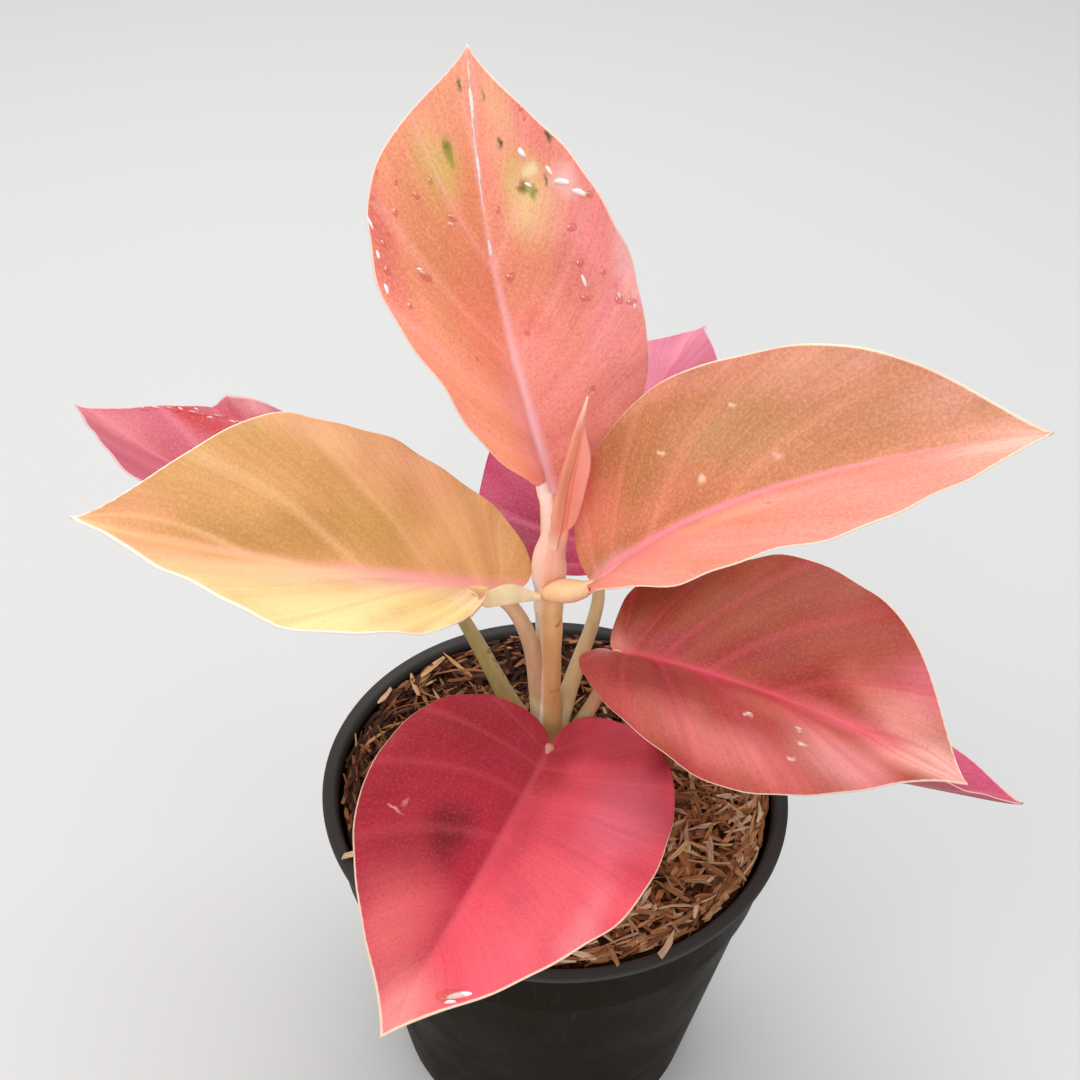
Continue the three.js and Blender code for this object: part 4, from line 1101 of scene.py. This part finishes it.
def barkShred(draw, place, length, halfWidth, thickness, tone, tilt, roll, heading):
    # a torn shred: a bent flat sliver, widest near its middle, cupped across, with two slanted ends
    rings = 4
    section = [(-0.5, 0), (-0.25, 1), (0.25, 1), (0.5, 0), (0.25, -1), (-0.25, -1)]
    bend = draw.uniform(-0.5, 1.0) * length * 0.07
    sweep = draw.uniform(-1, 1) * length * 0.05
    cup = draw.uniform(-0.2, 0.5) * halfWidth * 0.5
    twist = draw.uniform(-0.9, 0.9)
    slant = draw.uniform(-1.2, 1.2) * halfWidth
    blunt = draw.uniform(0.25, 1), draw.uniform(0.25, 1)
    turn = spun(heading, 0, 1) @ spun(tilt, 2, 0) @ spun(roll, 1, 2)
    grainShift = 3700 * tone, 50 * tone  # so that no two shreds share a piece of the pattern
    vertices, grain = [], []
    for i in range(rings):
        t = i / (rings - 1)
        end = {0: blunt[0], rings - 1: blunt[1]}.get(i, 1)
        wide = halfWidth * end * draw.uniform(0.75, 1.15)
        spin, arch = twist * (t - 0.5), math.sin(math.pi * t)
        for height, across in section:
            y, z = across * wide, height * thickness + cup * across * across
            local = np.array([(t - 0.5) * length + slant * across,
                              y * math.cos(spin) - z * math.sin(spin) + sweep * arch,
                              y * math.sin(spin) + z * math.cos(spin) + bend * arch])
            vertices.append(turn @ local + place)
            grain.append((local[0] + grainShift[0], y + thickness * height, grainShift[1]))
    return vertices, ringFaces(rings, len(section)), grain, [tone] * len(vertices)


def shredTone(draw, tones, x, y):
    # the tone runs darker towards the back left and lighter towards the front right as painted shade and light
    darker, lighter = shreds["light"]
    side = min(1, max(0, (x - 0.6 * y + 30) / 80))  # 0 at the back left, 1 at the front right
    return min(1, max(0, draw.gauss(*tones) + darker + (lighter - darker) * side))


def scatteredShreds():
    draw = random.Random(medium["seed"] + 1)
    for count, heights, tones, spread in shreds["layers"]:
        placed = 0
        while placed < count:
            low, high = shreds["length"]
            length = low + (high - low) * draw.random() ** 1.6
            halfWidth = draw.uniform(*shreds["halfWidth"]) * (0.5 + 0.5 * min(1, length / 9))
            reach = medium["edge"] + 0.6 - length * 0.2 - halfWidth
            radius = reach * math.sqrt(draw.random())
            angle = draw.uniform(0, 2 * math.pi)
            x, y = around(radius, angle)
            if math.dist((x, y), medium["stem"]) < shreds["clearOfStem"] + length * 0.3:
                continue
            heading = draw.uniform(0, 2 * math.pi)
            if radius + length / 2 > medium["edge"]:
                heading = angle + math.pi / 2 + draw.uniform(-0.5, 0.5)  # near the wall they lie along it
            yield barkShred(draw, mediumPoint(x, y, draw.uniform(*heights)), length, halfWidth,
                            draw.uniform(*shreds["thickness"]), shredTone(draw, tones, x, y),
                            draw.gauss(0, spread * 0.6), draw.gauss(0, spread * 1.6), heading)
            placed += 1
    count, reaches, heights, lengths, halfWidths, tones = shreds["wall"]
    for _ in range(count):
        angle, radius, length = draw.uniform(0, 2 * math.pi), draw.uniform(*reaches), draw.uniform(*lengths)
        x, y = around(radius, angle)
        yield barkShred(draw, mediumPoint(x, y, draw.uniform(*heights)), length, draw.uniform(*halfWidths),
                        0.5, shredTone(draw, tones, x, y), draw.gauss(0, 0.2), draw.gauss(0, 0.5),
                        angle + math.pi / 2 + draw.uniform(-0.22, 0.22))
    for *place, length, halfWidth, tone, tilt, heading in placedShreds:
        yield barkShred(draw, place, length, halfWidth * 0.7, 0.6, tone, tilt, 0.3, heading)


def fibreStrands():
    # thin root fibres, dark and springy, that stick out of the filling at the back left
    draw = random.Random(fibres["seed"])
    steps, outermost = 5, fibres["ring"][1]
    for _ in range(fibres["count"]):
        angle = draw.uniform(*fibres["angle"])
        radius = draw.uniform(*fibres["ring"])
        length = draw.uniform(*fibres["length"])
        heading = draw.uniform(0, 2 * math.pi)
        x, y = around(radius, angle)
        path = []
        for k in range(steps + 1):
            heading += draw.uniform(-0.5, 0.5)
            rise = fibres["arch"] * math.sin(math.pi * k / steps) * draw.uniform(0.3, 1)
            path.append((*mediumPoint(x, y, fibres["lift"] + rise), fibres["radius"]))
            x += math.cos(heading) * length / steps
            y += math.sin(heading) * length / steps
            if math.hypot(x, y) > outermost:
                x, y = x * outermost / math.hypot(x, y), y * outermost / math.hypot(x, y)
        vertices, faces, _ = tube(path, sides=5, perSpan=3)
        tone = draw.choice(fibres["tones"])
        yield list(vertices), faces, [(0, 0, 0)] * len(vertices), [tone] * len(vertices)


def mediumPiece():
    vertices, faces = soilBody()
    kinds, tones, grains = [0] * len(faces), [0.0] * len(vertices), [(0, 0, 0)] * len(vertices)
    for source in (scatteredShreds(), fibreStrands()):
        for points, corners, grain, tone in source:
            start = len(vertices)
            vertices += points
            faces += [tuple(v + start for v in face) for face in corners]
            kinds += [1] * len(corners)
            tones += tone
            grains += grain
    piece = meshPiece("growing_medium", vertices, faces, [soilMaterial(), chipMaterial()], "growing_medium",
                      "growing_medium", kinds, {"tone": tones, "grain": grains})
    piece.data.polygons.foreach_set("use_smooth", [kind == 0 for kind in kinds])  # torn shreds have edges


mediumPiece()
print("growing medium ready")

# pot


def potMaterial():
    # Black-green polypropylene, injection moulded: a satin skin with flow marks, lightly scuffed, the top of
    # its rim painted lighter grey as painted light. Dust lies in clouds of 22 mm, scuffs are about 1 mm wide
    # and 14 mm high.
    material, add, plastic = newMaterial("mouldedPolypropylene", {"IOR": 1.49, "Specular IOR Level": 0.05})
    spot = add("TexCoord").outputs["Object"]
    dust = add("TexNoise", {"Scale": 45, "Detail": 6, "Roughness": 0.65}, {"Vector": spot})
    colour = add("Mix", {**tint, 6: hexColour("#100a03"), 7: hexColour("#211a0c")}, {0: dust})
    drawn = add("Mapping", {"Scale": (900, 900, 70)}, {"Vector": spot})
    scuffs = add("TexNoise", {"Scale": 1, "Detail": 3}, {"Vector": drawn})
    scuff = add("MapRange", {"From Min": 0.62, "From Max": 0.8, "To Max": 0.35}, {"Value": scuffs})
    height = add("SeparateXYZ", links={0: spot}).outputs["Z"]
    # painted light: the top of the rim is lighter grey where it catches the light
    paintedRimLight = add("MapRange", {**softEdge, "From Min": 0.1215, "From Max": 0.1245, "To Max": 0.8},
               {"Value": height})
    for tone, amount in (("#45443a", scuff), ("#4c4d4b", paintedRimLight)):
        colour = add("Mix", {**tint, 7: hexColour(tone)}, {0: amount, 6: colour})
    gloss = add("MapRange", {**noiseSpan, "To Min": 0.4, "To Max": 0.6}, {"Value": dust})
    bump = add("Bump", {"Strength": 0.12, "Distance": 0.0002}, {"Height": scuffs})
    joinTo(plastic, {"Base Color": colour, "Roughness": gloss, "Normal": bump})
    return material


def rounded(profile, reach, steps=4):
    # each inner corner of a profile becomes a short arc
    points = [profile[0]]
    for before, corner, after in zip(profile, profile[1:], profile[2:]):
        corner = np.array(corner, float)
        toBefore, toAfter = np.array(before) - corner, np.array(after) - corner
        cut = min(reach, np.linalg.norm(toBefore) * 0.45, np.linalg.norm(toAfter) * 0.45)
        start = corner + toBefore / np.linalg.norm(toBefore) * cut
        end = corner + toAfter / np.linalg.norm(toAfter) * cut
        for k in range(steps + 1):
            t = k / steps
            points.append(tuple((1 - t) ** 2 * start + 2 * t * (1 - t) * corner + t * t * end))
    return points + [profile[-1]]


def potPiece():
    # its wall from the middle of the underside over the rim to the middle of the floor inside
    height, wall = potForm["height"], potForm["wall"]
    rim, band, shoulder, foot = (potForm[key + "Radius"] for key in ("rim", "band", "shoulder", "foot"))
    bandBottom, lipBottom = height - potForm["bandHeight"], height - potForm["lipThickness"]
    profile = rounded([
        (0, 0), (foot - 0.3, 0), (foot, potForm["footEdge"]), (shoulder, bandBottom - 1),
        (band - 1, bandBottom), (band, lipBottom - 1), (rim - 0.2, lipBottom), (rim, height),
        (rim - potForm["lipWidth"], height),
        (band - wall, lipBottom - 1), (band - wall - 1, bandBottom + 1), (shoulder - wall, bandBottom),
        (foot - wall, wall), (0, wall),
    ], potForm["soften"])[1:-1]
    sides = potForm["sides"]
    turns = [2 * math.pi * k / sides for k in range(sides)]
    vertices = [(*around(r, a), z) for r, z in profile for a in turns]
    return meshPiece("pot", vertices, ringFaces(len(profile), sides), [potMaterial()], "pot", "pot")


def cutDrainHoles(pot):
    # one cutter with all the holes, joined and then taken out of the floor of the pot
    shape = bmesh.new()
    for k in range(potForm["drainCount"]):
        angle = 2 * math.pi * k / potForm["drainCount"]
        radius = potForm["drainRadius"] * millimetre
        made = bmesh.ops.create_cone(shape, cap_ends=True, segments=32, radius1=radius, radius2=radius,
                                     depth=4 * potForm["wall"] * millimetre)
        place = Vector((*around(potForm["drainRing"], angle), potForm["wall"] / 2))
        bmesh.ops.translate(shape, vec=place * millimetre, verts=made["verts"])
    cutterMesh = bpy.data.meshes.new("drainCutter")
    shape.to_mesh(cutterMesh)
    shape.free()
    cutter = newObject("drainCutter", cutterMesh)
    boolean = pot.modifiers.new("drainHoles", "BOOLEAN")
    boolean.operation = "DIFFERENCE"
    boolean.solver = "EXACT"
    boolean.object = cutter
    bpy.context.view_layer.update()
    pot.data = bpy.data.meshes.new_from_object(pot.evaluated_get(bpy.context.evaluated_depsgraph_get()))
    pot.modifiers.clear()
    bpy.data.objects.remove(cutter)
    pot.data.polygons.foreach_set("use_smooth", [True] * len(pot.data.polygons))
    pot.data.set_sharp_from_angle(angle=math.radians(40))


cutDrainHoles(potPiece())
print("pot ready")

# water on the leaves: share along the blade, millimetres across, length, width, turn in degrees
drops = {
    "top": {
        "beads": [
            (0.51, 27, 4.2, 2.6, 60), (0.63, -4.5, 2, 1.6, 0), (0.67, -12, 2.6, 2, 0),
            (0.62, -32.5, 2.6, 2, 80), (0.56, -24.5, 2.2, 3.4, 0), (0.4, -23.5, 3, 2, 50),
            (0.38, -32.5, 2.8, 2.2, 0), (0.37, -36, 2, 3, 0), (0.45, -30.5, 1.8, 1.6, 0),
            (0.48, -24.5, 2, 2.6, 0), (0.48, -4.5, 2.4, 3, 40), (0.62, 11.5, 3.8, 1.2, 70),
            (0.81, -17.5, 1.8, 1.2, 0), (0.35, -5.5, 1.6, 1.6, 0), (0.19, -19, 1.8, 1.8, 0),
            (0.67, 36, 1.6, 1.4, 0), (0.7, 26.5, 1.6, 1.4, 0), (0.64, 29.5, 2.2, 1.6, 0),
            (0.67, 21.5, 2.6, 1.4, 45), (0.7, 16, 1.8, 1.4, 0), (0.53, 39.5, 2.2, 1.8, 0),
            (0.46, 37, 1.8, 1.4, 0), (0.58, 37, 2, 1.4, 0), (0.72, 32, 1.4, 1.2, 0), (0.6, 34, 1.4, 1.2, 0),
            (0.83, -22, 1.8, 1.4, 0), (0.33, 20, 1.4, 1.2, 0),
        ],
        "films": [
            (0.79, -0.2, 45, 0.8, 0), (0.87, -0.4, 10, 1.5, 1), (0.73, -0.5, 7, 1.2, -2),
            (0.55, 0, 5, 1.3, 0), (0.74, -14.5, 3.4, 1.6, 30), (0.66, -25, 4.6, 2, 75),
            (0.63, -29.5, 5, 1.6, 60), (0.69, -22, 2.6, 1.2, 20), (0.44, -24.5, 3.4, 1.2, 10),
            (0.39, -33, 1.6, 0.7, 0), (0.62, 41, 3.4, 0.7, 0), (0.5, 41.5, 2.4, 0.8, 0),
            (0.56, 40.5, 2.2, 0.7, 0), (0.525, 28, 1.8, 0.7, 60), (0.67, -14.5, 2.4, 0.9, 60),
            (0.61, 12.6, 1.6, 0.6, 70), (0.36, -36.5, 1.8, 0.7, 0),
        ],
    },
    "front": {"beads": [(0.85, 12.5, 9, 3.4, -62)], "films": [(0.842, 13.2, 7.4, 1.7, -58)]},
    "lower_right": {
        "beads": [(0.45, -18, 2.2, 1.8, 0), (0.58, -15, 2, 1.6, 0)],
        "films": [(0.45, -18, 1.4, 1, 0), (0.58, -15, 1.3, 0.9, 0)],
    },
    "back_left": {
        "beads": [(0.8, -18, 6, 1.8, 20), (0.74, -21, 7, 2, 14), (0.68, -24, 6, 1.8, 12),
                  (0.62, -25, 5, 1.6, 8), (0.86, -15.5, 4, 1.2, 24)],
        "films": [(0.84, -16.5, 2.6, 0.5, 20), (0.785, -19.6, 2.2, 0.5, 0), (0.7, -21.6, 2.4, 0.5, 25),
                  (0.64, -24, 2.4, 0.5, 10), (0.75, -22.4, 2, 0.5, 0)],
    },
}
dropForm = {
    "rings": 7, "sides": 28,
    "height": (0.3, 0.1),  # a share of the smaller side, and an even thickness
    "filmLift": 0.25,
    "wobble": (0.12, 0.06),
    # painted highlights: longer beads carry a white sliver of the film material, a painted reflection of the
    # sky
    "paintedGlintFrom": 1.7,  # beads longer than this carry a bright sliver of mirrored sky
    "paintedGlintSize": (0.4, 0.2),  # length and width of the sliver, as shares of the bead
    "clear": 0.4,  # from the margin
    "sink": 0.05, "bottom": 0.15,  # how deep the rim and the middle of the underside lie in the leaf
}


def waterMaterials():
    # Rain water, standing in clear beads: the leaf colour shows through, deeper and redder, under a sharp
    # gloss. Where it is drawn out into low runs it is painted near white and smooth, a painted reflection of
    # the sky.
    bead = {"Base Color": hexColour("#e06a56"), "Roughness": 0.04, "Specular IOR Level": 1, "Alpha": 0.3}
    film = {"Base Color": hexColour("#ffffff"), "Roughness": 0.08, "Alpha": 0.85}
    clear = {"IOR": 1.333, "Coat Weight": 1}
    return [newMaterial(name, {**clear, **finish})[0]
            for name, finish in (("rainWater", bead), ("rainWaterFilmPaintedReflection", film))]


def onBlade(name, spots):
    # places on the upper side of a blade and its normals there, from the four nearest points of its grid
    flat, rise, normals = surfaces[name]
    distance = np.linalg.norm(spots[:, None] - flat, axis=-1)
    nearest = np.argsort(distance, axis=1)[:, :4]
    weight = 1 / (np.take_along_axis(distance, nearest, 1) + 0.05) ** 2
    weight /= weight.sum(1, keepdims=True)
    up = (normals[nearest] * weight[..., None]).sum(1)
    up /= np.linalg.norm(up, axis=1, keepdims=True)
    left, right = (bladePoint(leaves[name], spots[:, 0], np.abs(spots[:, 1]), half) for half in (0, 1))
    middle = np.where(spots[:, 1:] > 0, left, right)
    return middle + up * (rise[nearest] * weight).sum(1)[:, None], up


def dropPiece(name, materials):
    leaf, form = leaves[name], dropForm
    length, rings, sides = leaf["length"], form["rings"], form["sides"]
    share, base = form["height"]
    draw = random.Random(len(name))
    # material, lift and place of each: beads, films painted white as a reflection of the sky, and the painted
    # highlights on the longer beads
    sorts = [(0, 0, bead) for bead in drops[name]["beads"]]
    sorts += [(1, form["filmLift"], film) for film in drops[name]["films"]]
    far, near = form["paintedGlintSize"]
    for at, across, long, wide, turn in drops[name]["beads"]:
        if long > form["paintedGlintFrom"]:
            paintedGlintSpot = (at + near * long / length, across + near * wide, far * long, near * wide, turn)
            sorts.append((1, near * min(long, wide), paintedGlintSpot))
    rims = [halfOutline(leaf, half, np.linspace(0, 1, bladeForm["rimPoints"])) for half in (0, 1)]
    vertices, faces, kinds = [], [], []
    for kind, lift, (at, across, long, wide, turn) in sorts:
        start = len(vertices)
        height = share * min(long, wide) + base + lift
        phases = [draw.uniform(0, 2 * math.pi) for _ in range(2)]
        turn = math.radians(turn)
        rim = rims[0 if across > 0 else 1]
        room = np.interp(at * length, rim[:, 0], rim[:, 1])
        room -= 0.6 * math.hypot(long * math.sin(turn), wide * math.cos(turn)) + form["clear"]
        across = math.copysign(min(abs(across), room), across)
        spots, heights = [], []
        for i in range(rings + 1):
            slope = math.pi / 2 * i / rings
            for k in range(sides if i else 1):
                angle = 2 * math.pi * k / sides
                wobble = 1 + sum(size * math.sin((n + 2) * angle + phase)
                                 for n, (size, phase) in enumerate(zip(form["wobble"], phases)))
                u = long / 2 * math.sin(slope) * wobble * math.cos(angle)
                v = wide / 2 * math.sin(slope) * wobble * math.sin(angle)
                spots.append((at * length + u * math.cos(turn) - v * math.sin(turn),
                              across + u * math.sin(turn) + v * math.cos(turn)))
                heights.append(height * math.cos(slope))
        ground, up = onBlade(name, np.array(spots))
        vertices += list(ground + up * (np.array(heights)[:, None] - form["sink"]))
        bottom = len(vertices)
        vertices.append(ground[0] - up[0] * form["bottom"])
        for k in range(sides):
            m = (k + 1) % sides
            faces.append((start, start + 1 + k, start + 1 + m))
            for a in range(start + 1, bottom - sides, sides):
                faces.append((a + k, a + sides + k, a + sides + m, a + m))
            a = bottom - sides
            faces.append((a + k, bottom, a + m))
        kinds += [kind] * (len(faces) - len(kinds))
    meshPiece("water_" + name, vertices, faces, materials, leaf["slot"], "blade_" + name, kinds)


water = waterMaterials()
for name in drops:
    dropPiece(name, water)
print("water drops ready")
